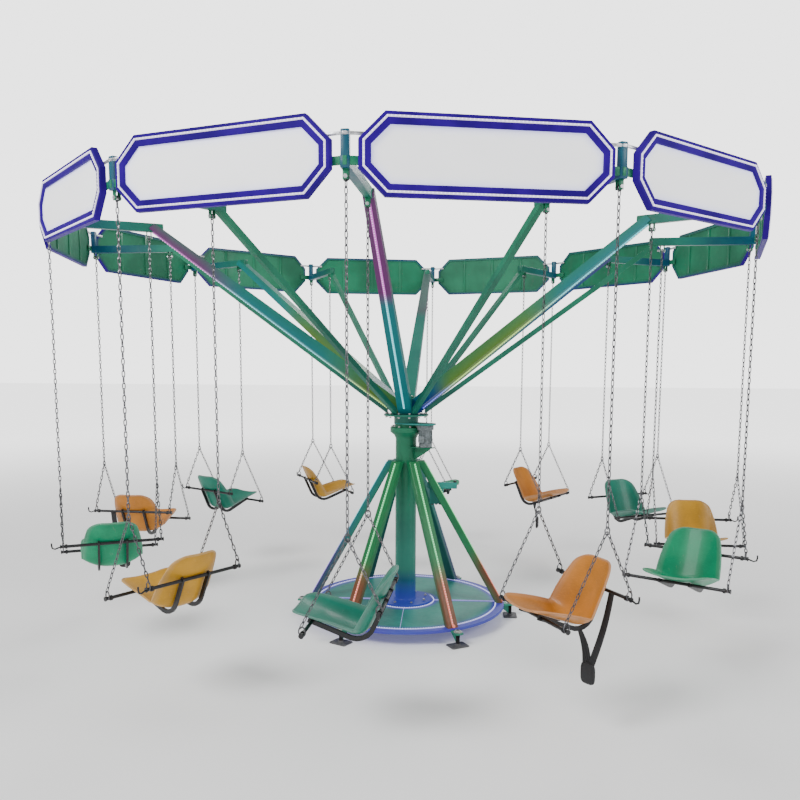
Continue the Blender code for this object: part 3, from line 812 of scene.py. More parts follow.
def worn_metal(name, colour, roughness, metallic, rust=0.25, scale=60.0):
    """Plated or blackened steel with grime and a little rust."""
    made = Finish(name, colour, roughness, metallic)
    grime = made.noise(scale, 4.0)
    spots = made.noise(scale * 0.35, 5.0, roughness=0.65).ramp(0.60, 0.74)
    base = made.mix(grime.ramp(0.3, 0.7), shade(colour, 0.62), shade(colour, 1.22))
    made.set("Base Color", made.mix(spots * rust, base, RUSTED))
    made.set("Roughness", grime * 0.25 + spots * 0.2 + (roughness - 0.12))
    made.set("Metallic", metallic - spots * (rust * metallic))
    made.bump(grime, 0.25, 0.0008)
    return made.material


def lit_border():
    """The deep blue border of a panel: the light of its line of lamps painted on as a deep blue
    colour and an uneven glow.
    """
    made = Finish("Lit blue border", (0.010, 0.001, 0.110), 0.45, specular=0.05)
    cloud = made.noise(6.0, 3.0)
    fine = made.noise(60.0, 2.0)
    share = cloud.ramp(0.3, 0.7)
    # Painted light: the border's blue colour and its uneven glow stand for the light of the line of
    # lamps on it
    made.set("Base Color", made.mix(share, (0.006, 0.000, 0.060), (0.012, 0.000, 0.100)))
    made.set("Roughness", fine * 0.25 + 0.35)
    made.glow(made.mix(share, (0.018, 0.000, 0.130), (0.030, 0.000, 0.200)), 0.9)
    made.bump(fine, 0.12, 0.0008)
    return made.material


def board_finish(name, colour):
    """Matt white board with faint smudges, a faint painted glow all over, and painted bluish light
    near its lit edge.
    """
    made = Finish(name, colour, 0.50)
    smudge = made.noise(4.0, 5.0, (1.0, 1.0, 2.0))
    specks = made.noise(90.0, 2.0)
    base = made.mix(smudge.ramp(0.45, 0.8) * 0.35, colour, shade(colour, 0.86))
    # Painted light: near the border lamp_glow turns the board bluish and makes it glow bluer;
    # elsewhere it glows faintly grey-white
    near = made.attribute("lamp_glow", "Fac")
    made.set("Base Color", made.mix(near * 0.35, base, (0.50, 0.52, 0.95)))
    made.set("Roughness", specks * 0.15 + 0.42)
    made.bump(specks, 0.10, 0.0006)
    made.glow(made.mix(near, (0.50, 0.50, 0.53), (0.34, 0.34, 0.90)), 0.80)
    return made.material


def webbing_finish(name):
    """Black woven belt, with its weave on the belt's own attributes."""
    made = Finish(name, (0.012, 0.012, 0.014), 0.85)
    across = made.attribute("belt_across", "Fac")
    length = made.attribute("belt_along", "Fac")
    ribs = (length * 1400.0).math("SINE") * 0.5 + (across * 900.0).math("SINE") * 0.5
    fuzz = made.noise(300.0, 2.0)
    base = made.mix(ribs.ramp(-0.6, 0.9), (0.006, 0.006, 0.007), (0.035, 0.035, 0.038))
    made.set("Base Color", base)
    made.set("Roughness", fuzz * 0.2 + 0.72)
    made.bump(ribs + fuzz * 0.6, 0.35, 0.0006)
    return made.material


# Pieces on the base


def blend_over(bands, value):
    """The highest of several soft bands: each is (centre, half width)."""
    return max(math.exp(-(((value - centre) / width) ** 2)) for centre, width in bands)


def base_disc(finishes):
    """The round plate with a softened rim and four raised lines, with the light of the two rings of
    lamps painted on them.
    """
    shape = Shape()
    bottom = PLATE_TOP - PLATE_THICKNESS
    profile = [(radius, PLATE_TOP) for radius in PLATE_STATIONS]
    profile += [
        (PLATE_RADIUS - PLATE_TOP_EDGE, PLATE_TOP),
        (PLATE_RADIUS, PLATE_TOP - PLATE_TOP_EDGE),
        (PLATE_RADIUS, bottom + PLATE_BOTTOM_EDGE),
        (PLATE_RADIUS - PLATE_BOTTOM_EDGE, bottom),
        (0.01, bottom),
    ]

    # Painted light: blue lamp light painted on the plate, strongest at the two rings of lamps and
    # over the rim, faint everywhere else
    def lamp(point, _):
        radius = math.hypot(point.x, point.y)
        glow = blend_over(((OUTER_LIGHT_RADIUS, 0.030), (INNER_LIGHT_RADIUS, 0.026)), radius)
        return (0.32, 0.06, 2.40), max(glow, 0.85 * smooth_step(0.63, 0.66, radius), 0.10)

    shape.turned(profile, 96, lamp=lamp)
    # The four raised lines carry painted blue lamp light too
    for turn, half_width in ((0, 0.002), (180, 0.002), (90, 0.013), (270, 0.013)):
        shape.box(
            (COLUMN_FLANGE_RADIUS + 0.02, OUTER_LIGHT_RADIUS - 0.012),
            (-half_width, half_width),
            (PLATE_TOP - 0.001, PLATE_TOP + 0.0012),
            place=at_azimuth(LINE_AZIMUTH + turn),
            edge=0.0004,
            lamp=lit((0.32, 0.10, 2.40), 0.85),
        )
    return shape.build("base_disc", finishes)


def plate_lights(strip_finish):
    """Two rings of light on the plate, two double lines and a thin line at the front."""
    shape = Shape()
    pale_blue, violet = (0.32, 0.36, 1.0), (0.12, 0.08, 0.95)
    for radius, half_width in ((OUTER_LIGHT_RADIUS, 0.0050), (INNER_LIGHT_RADIUS, 0.0040)):
        profile = (
            (radius - half_width, PLATE_TOP),
            (radius - half_width * 0.6, PLATE_TOP + LINE_RISE),
            (radius + half_width * 0.6, PLATE_TOP + LINE_RISE),
            (radius + half_width, PLATE_TOP),
        )
        shape.ring(profile, 120, lamp=lit(pale_blue))
    for turn, aside in ((90, -0.0085), (90, 0.0085), (270, -0.0085), (270, 0.0085), (0, 0.0)):
        half_width = 0.0022 if aside else 0.0012
        shape.box(
            (INNER_LIGHT_RADIUS + 0.004, OUTER_LIGHT_RADIUS - 0.005),
            (aside - half_width, aside + half_width),
            (PLATE_TOP, PLATE_TOP + 0.003),
            place=at_azimuth(LINE_AZIMUTH + turn),
            edge=0.0008,
            lamp=lit(violet if aside else pale_blue),
        )
    return shape.build("plate_light_strips", [strip_finish])


def circle_path(radius, height, steps):
    angles = steps_between(0.0, 2 * math.pi, steps)
    return [(radius * math.cos(a), radius * math.sin(a), height) for a in angles]


def levelling_feet(finishes):
    """Under each leg: a lug and web, a black threaded screw, a hexagon nut and a ground pad."""
    shape = Shape()
    lug_top = PLATE_TOP - PLATE_THICKNESS / 2
    lug_bottom = lug_top - LUG_THICKNESS
    web = (
        (0.660, lug_bottom - 0.004), (0.660, lug_bottom + 0.004),
        (FOOT_RADIUS, lug_bottom + 0.004), (FOOT_RADIUS, 0.012),
    )
    thread = [(0.0132 if k % 2 else 0.0112, 0.0085 + 0.0018 * k) for k in range(55)]
    nut = (
        (0.018, lug_top), (0.022, lug_top + 0.003), (0.022, lug_top + 0.010),
        (0.018, lug_top + 0.013),
    )
    washer = ((0.026, lug_top + 0.0002), (0.026, lug_top + 0.0022))
    socket = ((0.020, 0.0078), (0.020, 0.012), (0.015, 0.018))
    half_x, half_y = GROUND_PAD_HALF
    pad = []
    for inset, z in ((0.002, 0.0), (0.0, 0.002), (0.0, 0.006), (0.002, 0.008)):
        section = rounded_section(
            -half_y + inset, half_y - inset, -half_x + inset, half_x - inset, 0.008
        )
        pad.append([(x, y, z) for y, x in section])
    for index in range(ARM_COUNT):
        place = at_azimuth(LEG_AZIMUTH + index * ARM_STEP)
        stand = place @ Matrix.Translation((FOOT_RADIUS, 0.0, 0.0))
        shape.box(LUG_SPAN, (-0.025, 0.025), (lug_bottom, lug_top), 0, place, 0.002)
        shape.plate(web, 0.006, 0, place)
        shape.turned(thread, 14, 1, stand)
        shape.turned(nut, 6, 2, stand)
        shape.turned(washer, 20, 2, stand)
        shape.loft(pad, 3, place=stand)
        shape.turned(socket, 20, 3, stand)
    return shape.build("levelling_feet", finishes)


def column_post(finishes):
    """The post with its floor flange, flared neck, lower flange, bearing and the motor's shelf."""
    radius, flange_bottom, flange_top = LOWER_FLANGE
    shape = Shape()
    profile = [
        (0.001, PLATE_TOP + GAP),
        (COLUMN_FLANGE_RADIUS, PLATE_TOP + GAP),
        (COLUMN_FLANGE_RADIUS, COLUMN_FLANGE_TOP - 0.002),
        (COLUMN_FLANGE_RADIUS - 0.002, COLUMN_FLANGE_TOP),
        (COLUMN_RADIUS + 0.007, COLUMN_FLANGE_TOP),
        (COLUMN_RADIUS + 0.002, COLUMN_FLANGE_TOP + 0.005),
    ]
    profile += [(COLUMN_RADIUS, height) for height in COLUMN_STATIONS]
    profile += [
        (COLUMN_RADIUS, NECK_BOTTOM), (0.084, 1.284), (radius - 0.001, flange_bottom),
        (radius, flange_bottom + 0.002), (radius, flange_top - 0.002),
        (radius - 0.002, flange_top), (BEARING_RADIUS, flange_top),
        (BEARING_RADIUS, BEARING_TOP), (0.001, BEARING_TOP),
    ]

    # Painted light: blue lamp light painted near the post's foot, and a fainter painted teal glow
    # up to about a metre
    def lamp(point, _):
        foot = 1.0 - smooth_step(0.10, 0.34, point.z)
        middle = 0.30 * (1.0 - smooth_step(0.45, 1.00, point.z))
        if foot > 0.25:
            return (0.18, 0.22, 2.30), 0.90 * foot
        return (0.30, 1.70, 1.60), middle

    shape.turned(profile, 48, 0, lamp=lamp)
    place = at_azimuth(DRIVE_AZIMUTH)
    shelf_top = MOTOR_BOTTOM - GAP
    shape.box((0.05, SHELF_REACH), (-0.045, 0.045), (shelf_top - 0.006, shelf_top), 0, place)
    gusset = (
        (0.060, 1.105), (0.060, shelf_top - 0.003), (0.197, shelf_top - 0.003), (0.197, 1.190),
    )
    shape.plate(gusset, 0.006, 0, place)
    return shape.build("column_post", finishes)


def leg_line(share):
    """The middle of a leg's outer face, from its top (0) to its foot (1)."""
    foot = PLATE_TOP + GAP
    return Vector((
        LEG_OUTER_TOP + LEG_RUN * share,
        0.0,
        LEG_TOP + (foot - LEG_TOP) * share,
    ))


def prop_legs(finishes):
    """Six sloping box legs, with the light of the strip on each outer face painted on them,
    strongest on that face.
    """
    shape = Shape()
    depth = LEG_DEPTH * math.hypot(LEG_RUN, LEG_RISE) / LEG_RISE
    for index, pattern in enumerate(LEG_LIGHTS):
        place = at_azimuth(LEG_AZIMUTH + index * ARM_STEP)
        rings = []
        for step in range(LEG_STATIONS + 1):
            outer = leg_line(step / LEG_STATIONS)
            section = rounded_section(
                -LEG_WIDTH / 2, LEG_WIDTH / 2, outer.x - depth, outer.x, 0.005
            )
            rings.append([(x, y, outer.z) for y, x in section])

        # Painted light: the strip's colour, fading from the outer face towards the back of the leg
        def lamp(point, ring, pattern=pattern, place=place):
            share = ring / LEG_STATIONS
            behind = (leg_line(share).x - (place.inverted() @ point).x) / depth
            return light_at(pattern, share), 0.85 - 0.60 * behind

        shape.loft(rings, 0, lamp, place=place)
    return shape.build("prop_legs", finishes)


def strip_along(shape, path, lift, size, place, pattern):
    """A low lit strip on a slope: path gives points, lift the way it stands off the surface."""
    half_width, height = size
    corners = (
        (half_width, 0.0), (half_width * 0.65, height),
        (-half_width * 0.65, height), (-half_width, 0.0),
    )
    rings = []
    for point in path:
        base = point + lift * 0.0002
        rings.append([base + Vector((0.0, y, 0.0)) + lift * rise for y, rise in corners])
    steps = len(path) - 1
    shape.loft(
        rings, 0, lambda point, ring: (light_at(pattern, ring / steps), 1.0), place=place
    )


def leg_light_path(first, last, count):
    return [leg_line(share) for share in steps_between(first, last, count)]


def leg_normal():
    """The way that a leg's outer face looks: outwards and up."""
    return Vector((LEG_RISE, 0.0, LEG_RUN)).normalized()


def leg_lights(strip_finish):
    """A lit strip down each leg, ended by a round cap at the foot."""
    shape = Shape()
    path = leg_light_path(0.012, 0.985, 24)
    cap = ((0.002, 0.006), (0.008, 0.005), (0.011, 0.0), (0.008, -0.008), (0.002, -0.010))
    for index, pattern in enumerate(LEG_LIGHTS):
        place = at_azimuth(LEG_AZIMUTH + index * ARM_STEP)
        strip_along(shape, path, leg_normal(), LEG_STRIP, place, pattern)
        foot = place @ Matrix.Translation((LEG_OUTER_FOOT + 0.004, 0.0, PLATE_TOP + 0.014))
        tilted = foot @ Matrix.Rotation(math.radians(60), 4, "Y")
        shape.turned(cap, 16, 0, tilted, lit(light_at(pattern, 1.0)))
    return shape.build("leg_light_strips", [strip_finish])


def drive_unit(finishes):
    """The motor's can with ribs, its fan cover, gearbox, terminal box and the plate above."""
    shape = Shape()
    place = at_azimuth(DRIVE_AZIMUTH)
    low, top = MOTOR_BOTTOM, BEARING_TOP
    can = place @ Matrix.Translation((MOTOR_REACH, 0.0, 0.0))
    profile = (
        (0.010, low), (FAN_COVER_RADIUS - 0.004, low), (FAN_COVER_RADIUS, low + 0.004),
        (FAN_COVER_RADIUS, low + 0.028), (MOTOR_RADIUS, low + 0.030),
        (MOTOR_RADIUS, top - 0.036), (MOTOR_RADIUS + 0.005, top - 0.034),
        (MOTOR_RADIUS + 0.005, top - 0.028), (0.010, top - 0.028),
    )
    shape.turned(profile, 32, 0, can)
    for k in range(18):
        rib = can @ Matrix.Rotation(math.radians(20 * k), 4, "Z")
        ribbed = (MOTOR_RADIUS - 0.003, MOTOR_RADIUS + 0.0045)
        shape.box(ribbed, (-0.0012, 0.0012), (low + 0.032, top - 0.038), 0, rib, 0.0004)
    gearbox = (MOTOR_REACH - GEARBOX_HALF, MOTOR_REACH + GEARBOX_HALF)
    shape.box(gearbox, (-GEARBOX_HALF, GEARBOX_HALF), (top - 0.036, top), 0, place, 0.004)
    terminals = (MOTOR_REACH - 0.022, MOTOR_REACH + 0.022)
    shape.box(terminals, (-0.062, -0.040), (1.240, 1.290), 0, place, 0.003)
    bottom, edge = BEARING_TOP + GAP, 0.0015
    rings = []
    for inset, z in (
        (edge, bottom), (0.0, bottom + edge),
        (0.0, bottom + DRIVE_PLATE_THICKNESS - edge), (edge, bottom + DRIVE_PLATE_THICKNESS),
    ):
        ring = []
        ends = ((0.0, HUB_BOSS_RADIUS, 90), (MOTOR_REACH, DRIVE_PLATE_END_RADIUS, -90))
        for centre, radius, start in ends:
            for turn in steps_between(start, start + 180, 23):
                angle, reach = math.radians(turn), radius - inset
                ring.append((centre + reach * math.cos(angle), reach * math.sin(angle), z))
        rings.append(ring)
    shape.loft(rings, 1, place=place)
    return shape.build("drive_unit", finishes)


def control_box(finishes):
    """A box with a lid and cable glands, hung from a short arm on the second leg."""
    shape = Shape()
    place = at_azimuth(LEG_AZIMUTH + ARM_STEP)
    side = LEG_WIDTH / 2 + GAP
    shape.box((0.150, 0.360), (side, side + 0.036), (0.900, 0.944), 0, place, 0.004)
    shape.box((0.165, 0.262), (side, side + 0.072), (0.790, 0.903), 0, place, 0.004)
    shape.box((0.163, 0.264), (side + 0.074, side + 0.085), (0.788, 0.905), 0, place, 0.004)
    gland = ((0.004, 0.778), (0.008, 0.779), (0.008, 0.785), (0.010, 0.786), (0.010, 0.791))
    for x in (0.185, 0.213, 0.241):
        shape.turned(gland, 12, 1, place @ Matrix.Translation((x, side + 0.036, 0.0)))
    post = [(0.345, side + 0.018, height) for height in (0.944, 0.956)]
    shape.tube(post, 0.012, 16, 1, place)
    return shape.build("control_box_unit", finishes)


# Pieces of the turning top


def hub_drum(finishes):
    """Flange and boss, a six-sided drum and a domed cap."""
    radius, flange_bottom, flange_top = HUB_FLANGE
    boss_bottom = BEARING_TOP + DRIVE_PLATE_THICKNESS + 2 * GAP
    shape = Shape()
    # Painted light: faint blue lamp light painted on the flange, boss and drum
    blue = lit((0.02, 0.20, 0.60), 0.25)
    profile = (
        (0.001, boss_bottom), (HUB_BOSS_RADIUS, boss_bottom),
        (HUB_BOSS_RADIUS, flange_bottom - 0.002), (HUB_BOSS_RADIUS + 0.004, flange_bottom),
        (radius - 0.0015, flange_bottom), (radius, flange_bottom + 0.0015),
        (radius, flange_top - 0.0015), (radius - 0.0015, flange_top), (0.001, flange_top),
    )
    shape.turned(profile, 48, 0, lamp=blue)
    corner = HUB_DRUM_APOTHEM / math.cos(math.radians(30))
    drum = (
        (corner, flange_top - 0.003), (corner, HUB_DRUM_TOP - 0.003),
        (corner - 0.004, HUB_DRUM_TOP),
    )
    flats = at_azimuth(0) @ Matrix.Rotation(math.radians(30), 4, "Z")
    shape.turned(drum, 6, 0, flats, blue)
    cap = (
        (HUB_CAP_RADIUS, HUB_DRUM_TOP - 0.002), (HUB_CAP_RADIUS, HUB_CAP_TOP - 0.008),
        (HUB_CAP_RADIUS * 0.8, HUB_CAP_TOP - 0.002), (0.004, HUB_CAP_TOP),
    )
    shape.turned(cap, 32, 0)
    return shape.build("hub_drum", finishes)


def arm_edges(share):
    """The arm's lower and upper edge and its width, from the hub (0) to the tip (1)."""
    root = HUB_DRUM_APOTHEM + GAP
    root_low = TIP_HEIGHT - (TIP_RADIUS - root) * ARM_SLOPE
    low = Vector((root, 0.0, root_low)).lerp(Vector((TIP_RADIUS, 0.0, TIP_HEIGHT)), share)
    high_root = Vector((root, 0.0, root_low + ARM_ROOT_DEPTH))
    high = high_root.lerp(Vector((TIP_RADIUS - TIP_CUT, 0.0, TIP_HEIGHT + TIP_CUT)), share)
    return low, high, ARM_ROOT_WIDTH + (ARM_TIP_WIDTH - ARM_ROOT_WIDTH) * share


def box_ring(low, high, width, edge):
    """One section of a sloping bar, between its lower and its upper edge."""
    section = rounded_section(-width / 2, width / 2, 0.0, 1.0, edge)
    return [low.lerp(high, share) + Vector((0.0, y, 0.0)) for y, share in section]


def rise(point, low, high):
    """How far a point lies from the lower (0) to the upper (1) edge of a bar."""
    return (point.z - low.z) / (high.z - low.z)


def main_arms(finishes):
    """Six tapered box arms, with the light of the strip under each painted on them, strongest at
    the lower edge.
    """
    shape = Shape()
    shares = steps_between(0.0, 1.0, ARM_STATIONS)
    rings = [box_ring(*arm_edges(share), 0.006) for share in shares]
    for index, pattern in enumerate(ARM_LIGHTS):

        # Painted light: the strip's colour, strongest at the lower edge and fading upwards
        def lamp(point, ring, pattern=pattern):
            low, high, _ = arm_edges(shares[ring])
            return light_at(pattern, shares[ring]), 0.95 - 0.55 * rise(point, low, high)

        shape.loft(rings, 0, lamp, place=at_azimuth(index * ARM_STEP))
    return shape.build("main_arms", finishes)


def arm_normal():
    """The way that the arm's lower face looks: outwards and down."""
    slope = math.atan(ARM_SLOPE)
    return Vector((math.sin(slope), 0.0, -math.cos(slope)))


def arm_light_path(first, last, count):
    return [arm_edges(share)[0] for share in steps_between(first, last, count)]


def arm_lights(strip_finish):
    """A lit strip along the lower face of each arm."""
    shape = Shape()
    path = arm_light_path(0.035, 0.985, 44)
    for index, pattern in enumerate(ARM_LIGHTS):
        place = at_azimuth(index * ARM_STEP)
        strip_along(shape, path, arm_normal(), ARM_STRIP, place, pattern)
    return shape.build("arm_light_strips", [strip_finish])


def mid_bars(finishes):
    """Six slim bars between the arms."""
    shape = Shape()
    foot = HUB_FLANGE[2] + GAP
    low_foot = Vector((MID_BAR_FOOT, 0.0, foot))
    low_tip = Vector((TIP_RADIUS, 0.0, TIP_HEIGHT))
    high_foot = Vector((MID_BAR_FOOT, 0.0, foot + MID_BAR_DEPTH))
    high_tip = Vector((TIP_RADIUS - TIP_CUT, 0.0, TIP_HEIGHT + TIP_CUT * 0.6))
    rings = []
    for share in steps_between(0.0, 1.0, MID_BAR_STATIONS):
        low, high = low_foot.lerp(low_tip, share), high_foot.lerp(high_tip, share)
        rings.append(box_ring(low, high, MID_BAR_WIDTH, 0.004))

    # Painted light: a teal lamp light painted on the bars, fading towards their tips
    def lamp(_, ring):
        return (0.02, 0.35, 0.45), 0.45 - 0.03 * ring

    for index in range(ARM_COUNT):
        shape.loft(rings, 0, lamp, place=at_azimuth(index * ARM_STEP + BEAM_STEP))
    return shape.build("mid_bars", finishes)


def chain_eye(shape, radius, place):
    """Two cheeks under a beam, with the pin through them and its nuts."""
    for middle in (radius - EYE_HALF_GAP, radius + EYE_HALF_GAP):
        shape.box(
            (middle - 0.002, middle + 0.002), (-EYE_CHEEK_HALF, EYE_CHEEK_HALF),
            (EYE_HEIGHT - EYE_CHEEK_HALF, BEAM_BOTTOM + 0.002), 0, place, 0.0015,
        )
    pin = [(radius + end, 0, EYE_HEIGHT) for end in (-0.018, 0.018)]
    shape.tube(pin, EYE_PIN_RADIUS, 10, 1, place)
    for end in (-1, 1):
        nut = [(radius + end * reach, 0, EYE_HEIGHT) for reach in (0.014, 0.019)]
        shape.tube(nut, 0.009, 6, 1, place)


def level_beams(finishes):
    """Twelve beams with end posts, chain eyes and the plates behind the panels' ends."""
    shape = Shape()
    half = BEAM_WIDTH / 2
    front = PANEL_APOTHEM - PANEL_THICKNESS - GAP
    half_step = math.radians(BEAM_STEP / 2)
    to_beam = front * math.tan(half_step)
    post = (BEAM_END - 0.032, BEAM_END - 0.002)
    for index in range(SEAT_COUNT):
        place = at_azimuth(index * BEAM_STEP)

        # Painted light: blue lamp light painted on the beams and posts, faint inwards and strongest
        # at their outer ends by the panels
        def lamp(point, _, place=place):
            outward = (place.inverted() @ point).x
            return (0.05, 0.10, 0.80), 0.10 + 0.55 * smooth_step(2.0, 2.25, outward)

        beam = (BEAM_START, BEAM_END)
        shape.box(beam, (-half, half), (BEAM_BOTTOM, BEAM_TOP), 0, place, 0.003, lamp)
        sides = (-POST_HALF_WIDTH, POST_HALF_WIDTH)
        shape.box(post, sides, (POST_BOTTOM, POST_TOP), 0, place, 0.003, lamp)
        for radius in CHAIN_RADII:
            chain_eye(shape, radius, place)
        for side in (-1, 1):
            turn = place @ Matrix.Rotation(side * half_step, 4, "Z")
            ends = sorted((side * -(to_beam + 0.008), side * -(PANEL_WIDTH / 2 - 0.055)))
            for band, finish in BACK_PLATES:
                shape.box((front - 0.006, front), ends, band, finish, turn, 0.0015)
    return shape.build("level_beams", finishes)


def octagon(inset):
    """The panel's outline in (across, height), moved inwards by inset, anticlockwise."""
    half_width, half_height = PANEL_WIDTH / 2 - inset, PANEL_HEIGHT / 2 - inset
    corner = PANEL_CORNER - inset * (2 - math.sqrt(2))
    middle = PANEL_BOTTOM + PANEL_HEIGHT / 2
    points = (
        (-half_width + corner, -half_height), (half_width - corner, -half_height),
        (half_width, -half_height + corner), (half_width, half_height - corner),
        (half_width - corner, half_height), (-half_width + corner, half_height),
        (-half_width, half_height - corner), (-half_width, -half_height + corner),
    )
    return [(across, height + middle) for across, height in points]


def panel_ring(depth, inset):
    return [Vector((depth, across, height)) for across, height in octagon(inset)]


def panel_place(index):
    return at_azimuth((index + 0.5) * BEAM_STEP)


def panel_boards(finishes):
    """Twelve octagonal boards: a border with a painted blue glow, a white face, and a ribbed green
    back, the face and the back with painted lamp light near the border.
    """
    shape = Shape()
    front, back = PANEL_APOTHEM, PANEL_APOTHEM - PANEL_THICKNESS
    recess = front - PANEL_RECESS
    rim = (
        (back, 0.002), (back + 0.002, 0.0), (front - 0.003, 0.0), (front, 0.003),
        (front, 0.047), (front - 0.003, PANEL_BORDER), (recess, PANEL_BORDER),
    )
    face = [(recess, PANEL_BORDER + step) for step in (0.0, 0.012, 0.035)]
    rear = ((back, 0.002), (back, 0.022), (back + 0.007, 0.024))
    # Painted light: lamp colour and glow painted on the face and the back, strongest at the border
    skins = (
        (face, 1, (0.2, 0.2, 0.9), (1.0, 0.45, 0.0)),
        (rear, 2, (0.05, 0.02, 0.6), (0.5, 0.2, 0.0)),
    )
    for index in range(SEAT_COUNT):
        place = panel_place(index)
        rings = [panel_ring(*step) for step in rim]
        shape.loft(rings, 0, lit((0.05, 0.01, 0.60)), ends=False, place=place)
        for section, finish, colour, glows in skins:
            rows = shape.loft(
                [panel_ring(*step) for step in section], finish,
                lambda point, ring, colour=colour, glows=glows: (colour, glows[ring]),
                ends=False, place=place,
            )
            shape.add_face(rows[-1], finish)
        for across in PANEL_RIBS:
            rib = (across - PANEL_RIB_HALF_WIDTH, across + PANEL_RIB_HALF_WIDTH)
            shape.box((back + 0.001, back + 0.008), rib, PANEL_RIB_SPAN, 2, place)
    return shape.build("panel_boards", finishes)


def panel_lights(strip_finish):
    """The pale line of light round each board's border."""
    shape = Shape()
    rings = [panel_ring(PANEL_APOTHEM + depth, inset) for depth, inset in PANEL_LINE]
    for index in range(SEAT_COUNT):
        place = panel_place(index)
        rows = shape.loft(rings, 0, lit((0.62, 0.50, 1.0)), ends=False, place=place)
        for k in range(8):
            j = (k + 1) % 8
            shape.add_face((rows[-1][k], rows[-1][j], rows[0][j], rows[0][k]))
    return shape.build("panel_light_strips", [strip_finish])


# Seats


def seat_opening():
    """The angle between the pan and the back."""
    return math.pi / 2 + BACK_RECLINE - PAN_SLOPE


def fillet_tangent():
    """How far from the seat's corner its rounded bend starts."""
    return SEAT_FILLET / math.tan(seat_opening() / 2)


def bend_length():
    """How long the rounded bend is along the seat."""
    return SEAT_FILLET * (math.pi - seat_opening())


def profile_length():
    return PAN_LENGTH + BACK_LENGTH - 2 * fillet_tangent() + bend_length()


def seat_profile(along, offset=0.0):
    """A point (forward, height) on the seat's centre line and the way out of the seat there."""
    tangent, bend = fillet_tangent(), bend_length()
    distance = along * profile_length()
    corner = Vector(SEAT_CORNER)
    pan = Vector((math.cos(PAN_SLOPE), math.sin(PAN_SLOPE)))
    back = Vector((-math.sin(BACK_RECLINE), math.cos(BACK_RECLINE)))
    pan_out = Vector((pan.y, -pan.x))
    if distance <= PAN_LENGTH - tangent:
        return corner + pan * (PAN_LENGTH - distance) + pan_out * offset, pan_out
    distance -= PAN_LENGTH - tangent
    if distance <= bend:
        out = Matrix.Rotation(-distance / SEAT_FILLET, 2) @ pan_out
        centre = corner + pan * tangent - pan_out * SEAT_FILLET
        return centre + out * (SEAT_FILLET + offset), out
    distance -= bend
    back_out = Vector((-back.y, back.x))
    return corner + back * (tangent + distance) + back_out * offset, back_out


def bar_along(distance, back=False):
    """A distance from the seat's corner, as the fraction that seat_profile takes."""
    if back:
        return (PAN_LENGTH - 2 * fillet_tangent() + bend_length() + distance) / profile_length()
    return (PAN_LENGTH - distance) / profile_length()


def seat_point(radial, forward, height):
    return Vector((radial, -forward, height - EYE_HEIGHT))


def shell_half_widths(along):
    """Half the shell's width, square-cornered and with rounded corners at the lip and the top."""
    top = max(0.0, (along - 0.55) / 0.45)
    lip = max(0.0, (0.22 - along) / 0.22)
    square = SHELL_HALF_WIDTH - TOP_NARROWING * top**2 - LIP_NARROWING * lip**2
    half = square
    for share, radius in ((along, LIP_CORNER), (1 - along, TOP_CORNER)):
        short = radius - share * profile_length()
        if short > 0.0:
            half -= radius - math.sqrt(max(0.0, radius * radius - short * short))
    return square, half


def shell_point(across, along):
    """A point on the shell's middle surface; across runs from -1 to 1."""
    point, out = seat_profile(along)
    square, half = shell_half_widths(along)
    side_rise = SIDE_RISE + MIDDLE_RISE * math.sin(math.pi * along)
    point = point - out * side_rise * (abs(across) * half / square) ** 2.4
    return seat_point(across * half, *point)


def shell_stations():
    """Fractions along the seat from 0 to 1, closer together at the lip and at the top."""
    waves = [-math.cos(math.pi * share) for share in steps_between(0.04, 0.96, SHELL_ROWS)]
    low, high = waves[0], waves[-1]
    return [(wave - low) / (high - low) for wave in waves]


